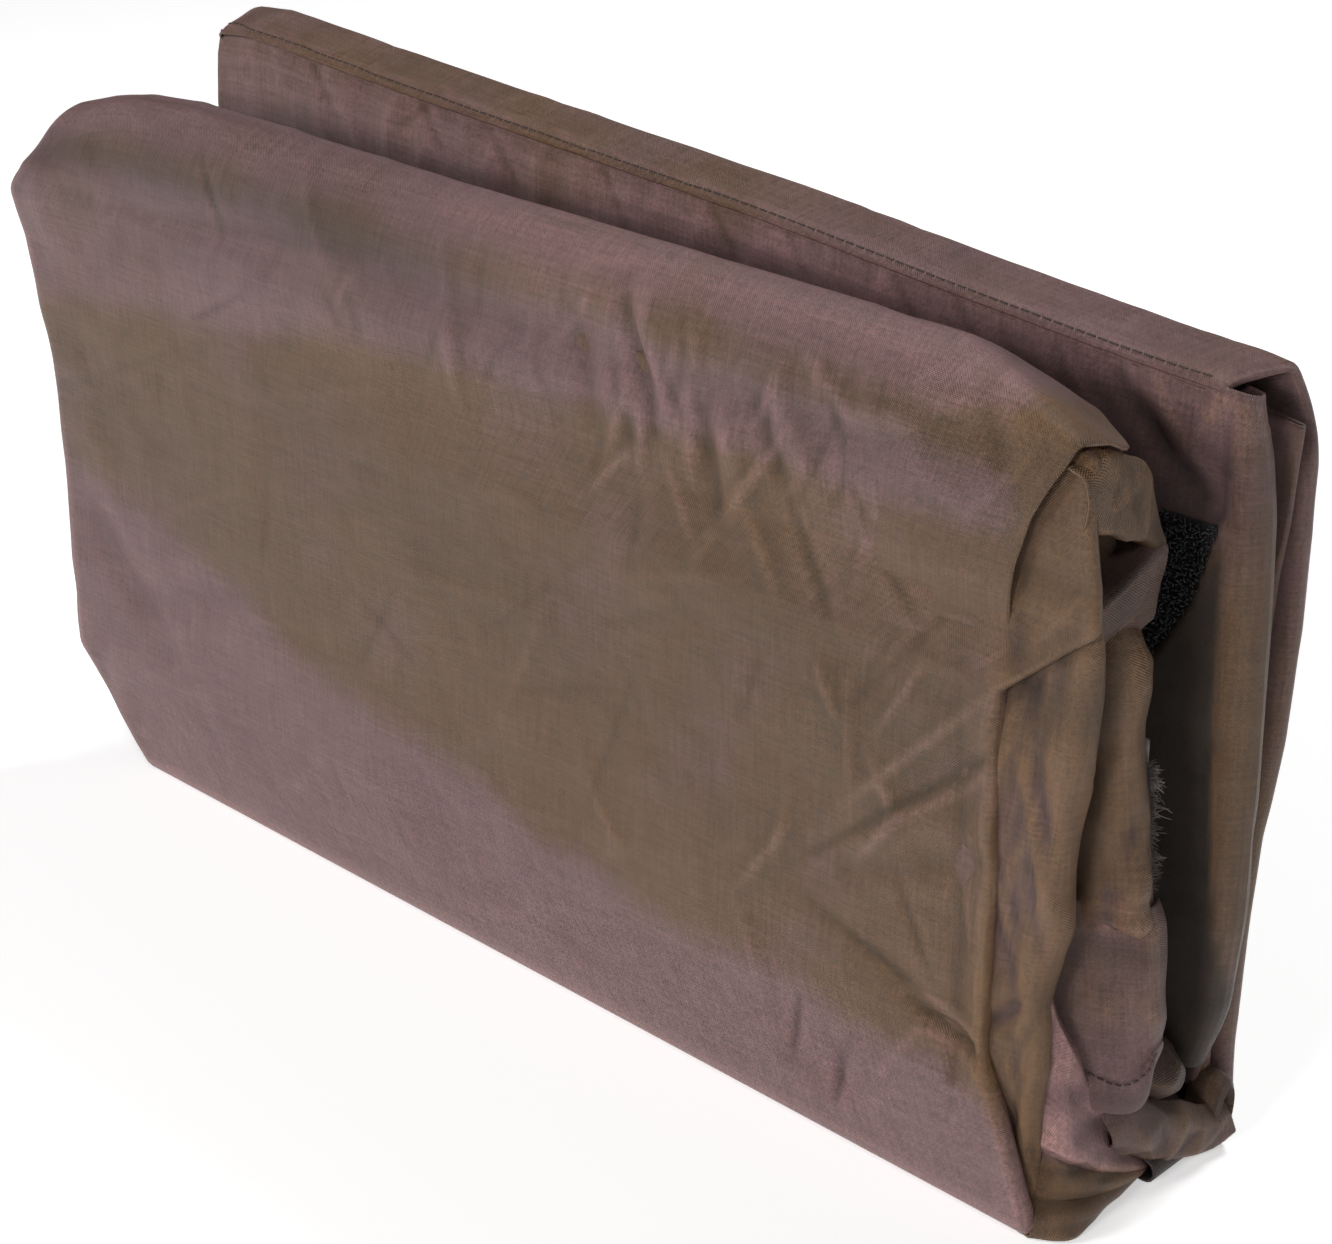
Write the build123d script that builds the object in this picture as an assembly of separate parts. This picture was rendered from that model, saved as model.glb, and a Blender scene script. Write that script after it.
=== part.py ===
"""Fabric spa cover, folded for storage and standing on its folded bottom edge.

The sewn cover is folded into a thick strip, and the strip is closed like a book.
Two halves stand side by side on a narrow spine, with an open gap between them.
Each half is a pack of leaves (about seven plies of cloth each). Its leaf on the
gap side is a flap that hangs from the ridge and ends in a stitched hem.

Units are millimetres. +X runs along the pack, -Y is the front face, +Z is up,
and the origin is at the middle of the underside.
"""
from build123d import *
import os
from math import radians, tan

# ---- driving dimensions -------------------------------------------------------
LENGTH = 488.0            # whole pack, along X
THICKNESS = 96.0          # whole pack, along Y
FRONT_HEIGHT = 262.0      # top of the front half's ridge
BACK_HEIGHT = 270.0       # top of the back half's ridge, at its middle
BACK_SLOPE_DEG = 2.0      # the back half's ridge is higher at its left end
FOLD_RADIUS = 8.0         # the rolled bottom edge that each half turns about
LEAF = 8.5                # thickness of one leaf of folded cloth
LEAF_GAP = 0.5            # air between neighbouring leaves
FAN_DEG = 0.8             # each front leaf leans this much more than the last
FLAP_LEAN_DEG = 2.5       # lean of the front flap at rest
BACK_FLAP_LEAN_DEG = 0.6  # lean of the back flap at rest
CORNER = 9.0              # corner radius of a folded leaf
SOFT = 3.5                # edge rounding of a folded leaf
TAPE_WIDTH = 50.0         # hook-and-loop tape
TAPE_THICK = 1.6
TAPE_SEAM_INSET = 3.0     # from a tape's edge to its stitches
HOOK_HEIGHT = 106.0       # bottom edge of the hook tape, on the front flap
LOOP_HEIGHT = 172.0       # bottom edge of the loop tape, on the back flap
STITCH_LENGTH = 3.2
STITCH_PITCH = 5.0
STITCH_WIDTH = 0.7
STITCH_RISE = 0.4
SEAM_DROP = 10.0          # the lapped seam ends this far below the back ridge
SEAM_THICK = 1.2
THIN_LEAF = 3.0           # the single inner fold of the back half
DOG_EAR = 48.0            # length of the front ridge's folded-down right end
EDGE_ROLL_WIDTH = 6.0     # the back flap's rolled right edge
EDGE_ROLL_DEPTH = 12.0
GUSSET_LENGTH = 12.5      # gathered cloth past the spine's right end
FRONT_SHORT = 12.0        # the front half ends this much short of the back half
BACK_SHORT = 24.0         # the back half starts this much after the front half
FOOT_FOLD = 46.0          # the front's lower left corner is folded away this far along X
FOOT_FOLD_TOP = 52.0      # and up to this height
FOOT_FOLD_LEAN = 9.0      # where the folded corner's slope meets the left edge
HEEL = 6.0                # the leaves' right edges lean in by this much at the foot
BACK_HEEL = 12.0          # and the back leaves' left edges by this much
HEM_SEAM_DROP = 5.0       # from a hem's top to its stitches
ROW_INSET = 6.0           # from a row's ends to the ends of its cloth

# ---- places worked out from them ----------------------------------------------
HALF_LENGTH = LENGTH / 2
FACE = THICKNESS / 2                       # both outer faces stand this far from Y = 0
HINGE_Y = FACE - FOLD_RADIUS               # bottom folds turn about Y = +-HINGE_Y
HINGE_Z = FOLD_RADIUS
LEAF_BOTTOM = 2 * FOLD_RADIUS + LEAF_GAP   # leaves start just above the bottom fold
FRONT_RIDGE = 21.0                         # height of each ridge fold
BACK_RIDGE = 24.0
FRONT_LEAF_TOP = FRONT_HEIGHT - FRONT_RIDGE - LEAF_GAP
BACK_LEAF_TOP = BACK_HEIGHT - BACK_RIDGE - LEAF_GAP
PITCH = LEAF + LEAF_GAP
FRONT_FLAP_OUT = FACE - 3 * PITCH - LEAF   # gap face of the front half, as a distance
BACK_FLAP_OUT = 14.0                       # gap face of the back half
FLAP_PIVOT_Y = -(FRONT_FLAP_OUT + LEAF / 2)
FLAP_PIVOT_Z = FRONT_LEAF_TOP - LEAF / 2
BACK_PIVOT_Y = BACK_FLAP_OUT + LEAF / 2
BACK_PIVOT_Z = BACK_HEIGHT - SEAM_DROP - LEAF_GAP - LEAF / 2
HEM_HEIGHT = 26.0
FLAP_BOTTOM = 22.0
SPINE_THICK = 7.0
SPINE_HALF = HINGE_Y - FOLD_RADIUS - 1.0

FRONT_LEFT = -HALF_LENGTH
FRONT_RIGHT = HALF_LENGTH - FRONT_SHORT
BACK_LEFT = -HALF_LENGTH + BACK_SHORT
BACK_RIGHT = HALF_LENGTH
BACK_MIDDLE = (BACK_LEFT + BACK_RIGHT) / 2
FOOT_LEFT = FRONT_LEFT + FOOT_FOLD
FOOT_RIGHT = FRONT_RIGHT - HEEL


def slab(outline, y_middle, thick, corner=CORNER, soft=SOFT):
    """A soft slab: an outline of X-Z points, given thickness along Y."""
    plane = Plane(origin=(0, y_middle, 0), x_dir=(1, 0, 0), z_dir=(0, -1, 0))
    face = plane * make_face(Polyline(*outline, close=True))
    face = fillet(face.vertices(), corner)
    body = extrude(face, amount=thick / 2, both=True)
    return fillet(body.edges(), min(soft, thick / 2 - 0.3))


def bar(profile_points, x_low, x_high, corner, soft=SOFT):
    """A soft bar: an outline of Y-Z points, run along X."""
    plane = Plane(origin=(x_low, 0, 0), x_dir=(0, 1, 0), z_dir=(1, 0, 0))
    face = plane * make_face(Polyline(*profile_points, close=True))
    face = fillet(face.vertices(), corner)
    body = extrude(face, amount=x_high - x_low)
    ends = body.faces().sort_by(Axis.X)
    return fillet(ends[0].edges() + ends[-1].edges(), soft)


def lean(body, y, z, degrees):
    """Turn a body about the line along X through (y, z); positive swings its foot to +Y."""
    return body.rotate(Axis((0, y, z), (1, 0, 0)), degrees)


def stitches_along_x(x_low, x_high, y, z):
    """A straight row of stitches that stands out of a surface facing along Y."""
    count = int((x_high - x_low) / STITCH_PITCH)
    return [
        Pos(x_low + (index + 0.5) * STITCH_PITCH, y, z)
        * Box(STITCH_LENGTH, STITCH_RISE, STITCH_WIDTH)
        for index in range(count)
    ]


def stitches_along_z(x, y, z_low, z_high):
    """The same, standing upright."""
    count = int((z_high - z_low) / STITCH_PITCH)
    return [
        Pos(x, y, z_low + (index + 0.5) * STITCH_PITCH)
        * Box(STITCH_WIDTH, STITCH_RISE, STITCH_LENGTH)
        for index in range(count)
    ]


def patch_stitches(x_low, x_high, y, z_low, z_high):
    """A box of stitches just inside the edge of a tape patch."""
    left = x_low + TAPE_SEAM_INSET
    right = x_high - TAPE_SEAM_INSET
    low = z_low + TAPE_SEAM_INSET
    high = z_high - TAPE_SEAM_INSET
    return (
        stitches_along_x(left, right, y, low)
        + stitches_along_x(left, right, y, high)
        + stitches_along_z(left, y, low, high)
        + stitches_along_z(right, y, low, high)
    )


def tape_patch(right, y_middle, low):
    """A square patch of tape, from its right edge and its bottom edge."""
    middle = Pos(right - TAPE_WIDTH / 2, y_middle, low + TAPE_WIDTH / 2)
    return middle * Box(TAPE_WIDTH, TAPE_THICK, TAPE_WIDTH)


# ---- the spine, which stays on the floor ---------------------------------------
def spine_band():
    """The folded cloth under both halves, flat underneath."""
    outline = [
        (-SPINE_HALF, 0),
        (SPINE_HALF, 0),
        (SPINE_HALF, SPINE_THICK),
        (-SPINE_HALF, SPINE_THICK),
    ]
    return bar(outline, FOOT_LEFT, FOOT_RIGHT, corner=1.5, soft=1.5)


def spine_inner_ply():
    """The inner cloth of the bottom fold, lying in the valley of the gap."""
    base, crest = SPINE_HALF - 6.0, SPINE_HALF - 10.0
    low, high = SPINE_THICK + LEAF_GAP, LEAF_BOTTOM - 2.0
    outline = [(-base, low), (base, low), (crest, high), (-crest, high)]
    return bar(outline, FOOT_LEFT + ROW_INSET, FOOT_RIGHT - 4.0, corner=1.2, soft=1.2)


def end_gusset():
    """The gathered cloth that closes the bottom fold at the right end."""
    shoulder = LEAF_BOTTOM - 4.0
    outline = [
        (-SPINE_HALF, 0),
        (SPINE_HALF, 0),
        (SPINE_HALF - 6.0, shoulder),
        (SPINE_HALF / 8, LEAF_BOTTOM),
        (-SPINE_HALF + 8.0, shoulder),
    ]
    left = FOOT_RIGHT + LEAF_GAP
    return bar(outline, left, left + GUSSET_LENGTH, corner=3.0, soft=2.5)


# ---- the front half --------------------------------------------------------------
def bottom_fold(side, left, right):
    """The rolled outer bottom edge of a half; side is -1 for front and +1 for back."""
    roll = Pos((left + right) / 2, side * HINGE_Y, HINGE_Z) * Rot(0, 90, 0) * Cylinder(
        FOLD_RADIUS, right - left
    )
    return fillet(roll.edges(), SOFT)


def front_outline(left, right, top):
    """Front leaf outline: its lower left corner is folded away to a slope."""
    return [
        (left + FOOT_FOLD, LEAF_BOTTOM),
        (right - HEEL, LEAF_BOTTOM),
        (right, top),
        (left, top),
        (left + FOOT_FOLD_LEAN, FOOT_FOLD_TOP),
    ]


def front_leaf(index, left, right):
    """Leaf number index of the front half, counted from the front face."""
    y_middle = -FACE + index * PITCH + LEAF / 2
    body = slab(front_outline(left, right, FRONT_LEAF_TOP), y_middle, LEAF)
    return lean(body, y_middle, FRONT_LEAF_TOP, index * FAN_DEG)


def front_ridge_fold():
    """The cloth that turns over the top of the front half."""
    inner = -FRONT_FLAP_OUT
    low = FRONT_LEAF_TOP + LEAF_GAP
    outline = [
        (-FACE, low),
        (inner, low),
        (inner - 3.0, FRONT_HEIGHT - 6.0),
        ((inner - FACE) / 2, FRONT_HEIGHT),
        (-FACE + 4.0, FRONT_HEIGHT - 8.0),
    ]
    return bar(outline, FRONT_LEFT, FRONT_RIGHT - DOG_EAR, corner=5.0, soft=5.0)


def front_dog_ear():
    """The ridge's right end, folded down to a flat point."""
    low = FRONT_LEAF_TOP + LEAF_GAP
    start = FRONT_RIGHT - DOG_EAR + LEAF_GAP
    tip = FRONT_RIGHT - 2.0
    outline = [(start, low), (tip, low), (tip, low + 5.0), (start, FRONT_HEIGHT - 3.0)]
    y_middle = -(FACE + FRONT_FLAP_OUT) / 2
    return slab(outline, y_middle, FACE - FRONT_FLAP_OUT - 6.0, corner=2.0, soft=2.0)


# ---- a flap, hanging from a ridge on the gap side --------------------------------
def flap_leaf(left, right, pivot_y, pivot_z, bottom):
    """A flap's leaf, with a full round top edge that the flap turns about."""
    radius = LEAF / 2
    panel = Pos((left + right) / 2, pivot_y, (pivot_z + bottom) / 2) * Box(
        right - left, LEAF, pivot_z - bottom
    )
    upright = panel.edges().filter_by(Axis.Z)
    panel = fillet(upright, SOFT)
    top = Pos((left + right) / 2, pivot_y, pivot_z) * Rot(0, 90, 0) * Cylinder(
        radius, right - left
    )
    return panel + fillet(top.edges(), SOFT)


def flap_hem(left, right, y_middle, bottom):
    """The doubled hem at a flap's free end."""
    body = Pos((left + right) / 2, y_middle, bottom + HEM_HEIGHT / 2) * Box(
        right - left, LEAF, HEM_HEIGHT - LEAF_GAP
    )
    return fillet(body.edges(), SOFT)


def front_flap_parts():
    """The front flap, its hem and its tape, all leaned together."""
    left = FRONT_LEFT + 14.0
    right = FRONT_RIGHT + 4.0
    face_y = -FRONT_FLAP_OUT
    hem_top = FLAP_BOTTOM + HEM_HEIGHT
    tape_right = right - 2.0
    tape_left = tape_right - TAPE_WIDTH
    tape_top = HOOK_HEIGHT + TAPE_WIDTH
    seam_y = face_y + TAPE_THICK + STITCH_RISE / 2
    parts = {
        "front_flap_leaf": [flap_leaf(left, right, FLAP_PIVOT_Y, FLAP_PIVOT_Z, hem_top)],
        "front_flap_hem": [flap_hem(FOOT_LEFT, right, FLAP_PIVOT_Y, FLAP_BOTTOM)],
        "front_hem_stitches": stitches_along_x(
            FOOT_LEFT + ROW_INSET, right - ROW_INSET, face_y + STITCH_RISE / 2, hem_top - HEM_SEAM_DROP
        ),
        "hook_patch": [tape_patch(tape_right, face_y + TAPE_THICK / 2, HOOK_HEIGHT)],
        "hook_patch_stitches": patch_stitches(tape_left, tape_right, seam_y, HOOK_HEIGHT, tape_top),
    }
    return {
        name: [lean(body, FLAP_PIVOT_Y, FLAP_PIVOT_Z, FLAP_LEAN_DEG) for body in bodies]
        for name, bodies in parts.items()
    }


# ---- the back half ----------------------------------------------------------------
def slope(body):
    """Tip a body in the X-Z plane, so that its left end stands higher."""
    return body.rotate(Axis((BACK_MIDDLE, 0, BACK_LEAF_TOP), (0, 1, 0)), BACK_SLOPE_DEG)


def back_top(x):
    """Height of the back leaves' sloping top edge at x."""
    return BACK_LEAF_TOP + (BACK_MIDDLE - x) * tan(radians(BACK_SLOPE_DEG))


def back_leaf(y_outer, thick, left, right):
    """A leaf of the back half, from its outer face inwards."""
    outline = [
        (left + BACK_HEEL, LEAF_BOTTOM),
        (right - HEEL, LEAF_BOTTOM),
        (right, back_top(right)),
        (left, back_top(left)),
    ]
    return slab(outline, y_outer - thick / 2, thick)


def back_ridge_fold():
    """The cloth that turns over the top of the back half and over its flap's top."""
    low = BACK_LEAF_TOP + LEAF_GAP
    behind_flap = BACK_FLAP_OUT + LEAF + LEAF_GAP
    outline = [
        (behind_flap, low),
        (FACE, low),
        (FACE - 4.0, BACK_HEIGHT - 9.0),
        (FACE - 16.0, BACK_HEIGHT),
        (BACK_FLAP_OUT + 7.0, BACK_HEIGHT - 1.0),
        (BACK_FLAP_OUT, BACK_HEIGHT - 5.0),
        (BACK_FLAP_OUT, BACK_HEIGHT - SEAM_DROP),
        (behind_flap, BACK_HEIGHT - SEAM_DROP),
    ]
    return slope(bar(outline, BACK_LEFT, BACK_RIGHT - 3.0, corner=1.5, soft=1.5))


def back_seam_lap():
    """The lapped seam along the ridge's gap side."""
    height = SEAM_DROP - 5.5
    lap = Pos(
        BACK_MIDDLE, BACK_FLAP_OUT - SEAM_THICK / 2, BACK_HEIGHT - SEAM_DROP + height / 2
    ) * Box(BACK_RIGHT - BACK_LEFT - 2 * ROW_INSET, SEAM_THICK, height)
    return slope(lap)


def back_seam_stitches():
    """The row of stitches that holds the lapped seam."""
    row = stitches_along_x(
        BACK_LEFT + 10.0,
        BACK_RIGHT - 10.0,
        BACK_FLAP_OUT - SEAM_THICK - STITCH_RISE / 2,
        BACK_HEIGHT - SEAM_DROP + 1.5,
    )
    return [slope(stitch) for stitch in row]


def back_edge_roll(right):
    """The rolled right edge of the back flap."""
    low = FLAP_BOTTOM + 6.0
    height = BACK_LEAF_TOP - 3.0 - low
    middle = Pos(
        right + EDGE_ROLL_WIDTH / 2 + LEAF_GAP, BACK_FLAP_OUT + EDGE_ROLL_DEPTH / 2, low + height / 2
    )
    roll = middle * Box(EDGE_ROLL_WIDTH, EDGE_ROLL_DEPTH, height)
    return fillet(roll.edges(), 2.5)


def back_flap_parts():
    """The back flap, its hem, rolled edge and tape, leaned and sloped together."""
    left = BACK_LEFT + 4.0
    right = BACK_RIGHT - 2 * EDGE_ROLL_WIDTH
    face_y = BACK_FLAP_OUT
    hem_top = FLAP_BOTTOM + HEM_HEIGHT
    tape_right = right + EDGE_ROLL_WIDTH
    tape_left = tape_right - TAPE_WIDTH
    tape_top = LOOP_HEIGHT + TAPE_WIDTH
    tape_y = face_y - LEAF_GAP / 2 - TAPE_THICK / 2
    seam_y = tape_y - TAPE_THICK / 2 - STITCH_RISE / 2
    parts = {
        "back_flap_leaf": [flap_leaf(left, right, BACK_PIVOT_Y, BACK_PIVOT_Z, hem_top)],
        "back_flap_hem": [flap_hem(left + 10.0, right, BACK_PIVOT_Y, FLAP_BOTTOM)],
        "back_hem_stitches": stitches_along_x(
            left + 16.0, right - ROW_INSET, face_y - STITCH_RISE / 2, hem_top - HEM_SEAM_DROP
        ),
        "back_edge_roll": [back_edge_roll(right)],
        "loop_patch": [tape_patch(tape_right, tape_y, LOOP_HEIGHT)],
        "loop_patch_stitches": patch_stitches(tape_left, tape_right, seam_y, LOOP_HEIGHT, tape_top),
    }
    return {
        name: [
            slope(lean(body, BACK_PIVOT_Y, BACK_PIVOT_Z, -BACK_FLAP_LEAN_DEG)) for body in bodies
        ]
        for name, bodies in parts.items()
    }


PARTS = {
    "spine_band": [spine_band()],
    "spine_inner_ply": [spine_inner_ply()],
    "end_gusset": [end_gusset()],
    "front_bottom_fold": [bottom_fold(-1, FOOT_LEFT, FOOT_RIGHT)],
    "front_outer_leaf": [front_leaf(0, FRONT_LEFT, FRONT_RIGHT)],
    "front_second_leaf": [front_leaf(1, FRONT_LEFT + 8.0, FRONT_RIGHT)],
    "front_core_leaf": [front_leaf(2, FRONT_LEFT + 12.0, FRONT_RIGHT - HEEL)],
    "front_ridge_fold": [front_ridge_fold()],
    "front_dog_ear": [front_dog_ear()],
    "back_bottom_fold": [bottom_fold(1, BACK_LEFT + BACK_HEEL, BACK_RIGHT)],
    "back_outer_leaf": [back_leaf(FACE, LEAF, BACK_LEFT, BACK_RIGHT)],
    "back_second_leaf": [back_leaf(FACE - PITCH, LEAF, BACK_LEFT + 6.0, BACK_RIGHT - 2.0)],
    "back_inner_fold": [back_leaf(FACE - 2 * PITCH, THIN_LEAF, BACK_LEFT + 9.0, BACK_RIGHT - 8.0)],
    "back_ridge_fold": [back_ridge_fold()],
    "back_seam_lap": [back_seam_lap()],
    "back_seam_stitches": back_seam_stitches(),
    **front_flap_parts(),
    **back_flap_parts(),
}

os.makedirs("parts", exist_ok=True)
for name, bodies in PARTS.items():
    export_step(Compound(children=list(bodies)), f"parts/{name}.step")
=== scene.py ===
"""The looks of the folded spa cover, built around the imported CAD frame."""
import math

import bpy
import numpy as np
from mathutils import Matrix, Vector, noise
from mathutils.bvhtree import BVHTree


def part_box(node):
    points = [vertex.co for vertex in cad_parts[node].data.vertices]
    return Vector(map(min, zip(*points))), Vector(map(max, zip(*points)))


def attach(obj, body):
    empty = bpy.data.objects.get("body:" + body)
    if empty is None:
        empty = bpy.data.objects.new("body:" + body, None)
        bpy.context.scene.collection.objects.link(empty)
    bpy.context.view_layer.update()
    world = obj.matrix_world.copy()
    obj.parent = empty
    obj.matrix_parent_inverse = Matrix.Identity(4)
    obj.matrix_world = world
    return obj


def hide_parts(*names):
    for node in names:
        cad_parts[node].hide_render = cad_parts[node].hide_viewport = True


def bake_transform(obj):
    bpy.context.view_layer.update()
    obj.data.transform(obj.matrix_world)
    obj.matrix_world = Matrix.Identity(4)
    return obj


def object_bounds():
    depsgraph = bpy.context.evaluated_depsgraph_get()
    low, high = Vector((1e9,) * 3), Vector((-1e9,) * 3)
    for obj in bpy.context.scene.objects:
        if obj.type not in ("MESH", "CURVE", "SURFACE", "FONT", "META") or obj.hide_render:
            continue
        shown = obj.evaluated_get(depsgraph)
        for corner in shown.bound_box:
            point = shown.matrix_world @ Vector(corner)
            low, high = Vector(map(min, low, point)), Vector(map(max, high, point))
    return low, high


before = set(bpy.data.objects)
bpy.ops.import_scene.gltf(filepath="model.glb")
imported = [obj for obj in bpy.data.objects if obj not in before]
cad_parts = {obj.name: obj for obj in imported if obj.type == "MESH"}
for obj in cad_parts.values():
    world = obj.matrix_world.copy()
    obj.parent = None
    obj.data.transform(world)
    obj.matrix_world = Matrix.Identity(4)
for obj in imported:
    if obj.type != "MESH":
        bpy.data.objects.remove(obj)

CAD_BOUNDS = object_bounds()
MM = 0.001
PLY = 0.9          # thickness of the cloth as it shows, mm
STEP = 1.7         # spacing of a sheet's grid, mm

# ---- places, in millimetres, from the frame ---------------------------------------


def box_mm(node):
    """A CAD node's lowest and highest corners."""
    low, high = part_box(node)
    return np.array(low) / MM, np.array(high) / MM


FLAP_LOW, FLAP_HIGH = box_mm("front_flap_leaf")
FOLD_LOW, FOLD_HIGH = box_mm("front_bottom_fold")
FACE = CAD_BOUNDS[1][1] / MM                   # the outer faces are at -FACE and FACE
SKIN = FACE - 0.7                              # the outer sheets' middle surface
FOLD_R = (FOLD_HIGH[2] - FOLD_LOW[2]) / 2
HINGE_Y = FACE - FOLD_R                        # the halves turn about -HINGE_Y and HINGE_Y
CROWN = box_mm("front_ridge_fold")[1][2]       # the top of the front half
PIVOT_Z = FLAP_HIGH[2] - 4.25                  # the height that the front flap turns about
FLAP_TOP_Y = FLAP_LOW[1] + 8.5                 # the front flap's gap face at that height
FRONT_SLOPE = math.tan(math.radians(2.5))      # how far the front flap leans into the gap
BACK_SLOPE = math.tan(math.radians(0.6))       # and the back flap, in mm per mm of height
BACK_GAP_Y = 14.9                              # the back flap's gap face near its top
END_X = 200                                    # the folded end's cloth shows past this x
FLOOR_GAP = 0.6                                # a sheet's middle surface stays this high


# ---- curves and grids ----------------------------------------------------------------
def between(a, b, c, d, t):
    """The point a share t of the way from b to c, on the smooth curve through a, b, c and d."""
    return 0.5 * (2 * b + (c - a) * t + (2 * a - 5 * b + 4 * c - d) * t**2
                  + (3 * b - a - 3 * c + d) * t**3)


def with_ends(points):
    """The points with one more past each end, so that the curve reaches both ends."""
    return np.vstack([2 * points[0] - points[1], points, 2 * points[-1] - points[-2]])


def distances(points):
    """How far along a line of points each one lies."""
    return np.concatenate([[0], np.cumsum(np.linalg.norm(np.diff(points, axis=0), axis=1))])


def smooth_path(points, step=STEP):
    """Evenly spaced points along a smooth curve through the given ones."""
    points = np.array(points, float)
    ends = with_ends(points)
    t = np.linspace(0, 1, 24, endpoint=False)[:, None]
    spans = [between(*ends[i : i + 4], t) for i in range(len(points) - 1)]
    dense = np.vstack(spans + [points[-1:]])
    length = distances(dense)
    count = max(int(length[-1] / step), 4)
    even = np.linspace(0, length[-1], count + 1)
    return np.stack([np.interp(even, length, dense[:, k]) for k in range(dense.shape[1])], 1)


def spread(points, count):
    """A fixed number of points along a smooth curve, the same number in each span."""
    ends = with_ends(points)
    t = np.linspace(0, len(points) - 1, count)
    i = np.minimum(t.astype(int), len(points) - 2)
    return between(ends[i], ends[i + 1], ends[i + 2], ends[i + 3], (t - i)[:, None])


def straight(points, count):
    """A fixed number of points along straight spans, with each corner a little eased."""
    at = np.linspace(0, len(points) - 1, count)
    out = np.stack([np.interp(at, np.arange(len(points)), points[:, k]) for k in range(3)], 1)
    out[1:-1] = 0.5 * out[1:-1] + 0.25 * (out[:-2] + out[2:])
    return out


def net_grid(rows, fine=9, crisp=False):
    """A dense grid through a coarse net of (x, y, z) points, smooth or with crisp folds at its rows."""
    rows = [np.array(row, float) for row in rows]
    columns = np.stack([spread(row, fine * (len(row) - 1) + 1) for row in rows], 1)
    span = straight if crisp else spread
    return np.stack([span(column, fine * (len(rows) - 1) + 1) for column in columns], 1)


def varying(at, controls, blur=5):
    """A value that varies along a sheet: straight between (place, value) pairs, then smoothed."""
    places, values = zip(*controls)
    raw = np.interp(at, places, values)
    kernel = np.hanning(2 * blur + 3)
    padded = np.pad(raw, blur + 1, mode="edge")
    return np.convolve(padded, kernel / kernel.sum(), mode="valid")


def path_normals(path):
    """Unit normals of a Y-Z path, on its left as it runs."""
    tangent = np.gradient(path, axis=0)
    tangent /= np.linalg.norm(tangent, axis=1)[:, None]
    return np.stack([-tangent[:, 1], tangent[:, 0]], 1)


def turned_in(edge, radius, reach, sign, count):
    """Columns that run off a sheet's end at x = edge, turn in and come back by reach.

    Gives arrays of x and of depth behind the sheet, for each row.
    """
    arc = np.linspace(0, math.pi, count)[None, 1:]
    back = np.linspace(0, 1, max(int(reach / STEP), 2))[None, 1:]
    r = radius[:, None]
    x_arc = edge[:, None] - sign * r + sign * r * np.sin(arc)
    d_arc = r * (1 - np.cos(arc))
    x_back = edge[:, None] - sign * r - sign * back * reach
    d_back = 2 * r + 0 * back
    return np.hstack([x_arc, x_back]), np.hstack([d_arc, d_back])


def wrapped_grid(path, side, left, right, left_roll=None, right_roll=None, reach=(14, 26)):
    """A sheet that follows a Y-Z path from left to right, and turns in at its ends.

    side is +1 where the outside is on the path's left. left and right are x for each
    row; a roll is the radius that an end turns in with, or None for a plain edge.
    """
    normal = path_normals(path) * side
    rows = len(path)
    x_from = left + (left_roll if left_roll is not None else 0)
    x_to = right - (right_roll if right_roll is not None else 0)
    count = max(int(np.mean(x_to - x_from) / STEP), 3)
    share = np.linspace(0, 1, count + 1)[None, :]
    x = x_from[:, None] + share * (x_to - x_from)[:, None]
    depth = np.zeros_like(x)
    if right_roll is not None:
        more_x, more_d = turned_in(right, right_roll, reach[1], 1, 9)
        x, depth = np.hstack([x, more_x]), np.hstack([depth, more_d])
    if left_roll is not None:
        more_x, more_d = turned_in(left, left_roll, reach[0], -1, 9)
        x, depth = np.hstack([more_x[:, ::-1], x]), np.hstack([more_d[:, ::-1], depth])
    grid = np.zeros((rows, x.shape[1], 3))
    grid[:, :, 0] = x
    grid[:, :, 1] = path[:, None, 0] - normal[:, None, 0] * depth
    grid[:, :, 2] = path[:, None, 1] - normal[:, None, 1] * depth
    return grid, depth


def grid_normals(grid):
    """Unit normals at the points of a grid."""
    across = np.gradient(grid, axis=1)
    along = np.gradient(grid, axis=0)
    normal = np.cross(across, along)
    return normal / (np.linalg.norm(normal, axis=2)[:, :, None] + 1e-9)


def axes(grid):
    """A grid's x, y and z, as views that follow the grid."""
    return grid[:, :, 0], grid[:, :, 1], grid[:, :, 2]


def push(grid, amount):
    """Move a grid's points along its normals."""
    return grid + grid_normals(grid) * amount[:, :, None]


# ---- creases and crumples ---------------------------------------------------------------
def segment_distance(x, z, start, end):
    """Signed distance from a segment, and how far along it each point lies (0 to 1)."""
    start, end = np.array(start, float), np.array(end, float)
    run = end - start
    length = np.linalg.norm(run)
    unit = run / length
    dx, dz = x - start[0], z - start[1]
    along = (dx * unit[0] + dz * unit[1]) / length
    across = -dx * unit[1] + dz * unit[0]
    beyond = np.maximum(np.maximum(-along, along - 1), 0) * length
    return across, np.clip(along, 0, 1), beyond


def crease(x, z, start, end, width, depth, lip=0.35):
    """A pressed crease: a valley along a segment with a low lip beside it, fading at both ends."""
    across, along, beyond = segment_distance(x, z, start, end)
    fade = np.sin(math.pi * np.clip(along, 0.04, 0.96)) ** 0.6 * np.exp(-((beyond / width) ** 2))
    valley = np.exp(-((across / width) ** 2))
    raised = np.exp(-(((across - 1.9 * width) / (1.3 * width)) ** 2))
    return fade * depth * (lip * raised - valley)


def fold_line(x, z, start, end, width, height):
    """A crisp fold: a ridge (or a valley, if height is negative) with a sharp top."""
    across, along, beyond = segment_distance(x, z, start, end)
    fade = np.sin(math.pi * np.clip(along, 0.03, 0.97)) ** 0.7 * np.exp(-beyond / width)
    return height * fade * np.exp(-np.sqrt(across**2 + 0.5) / width)


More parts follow.
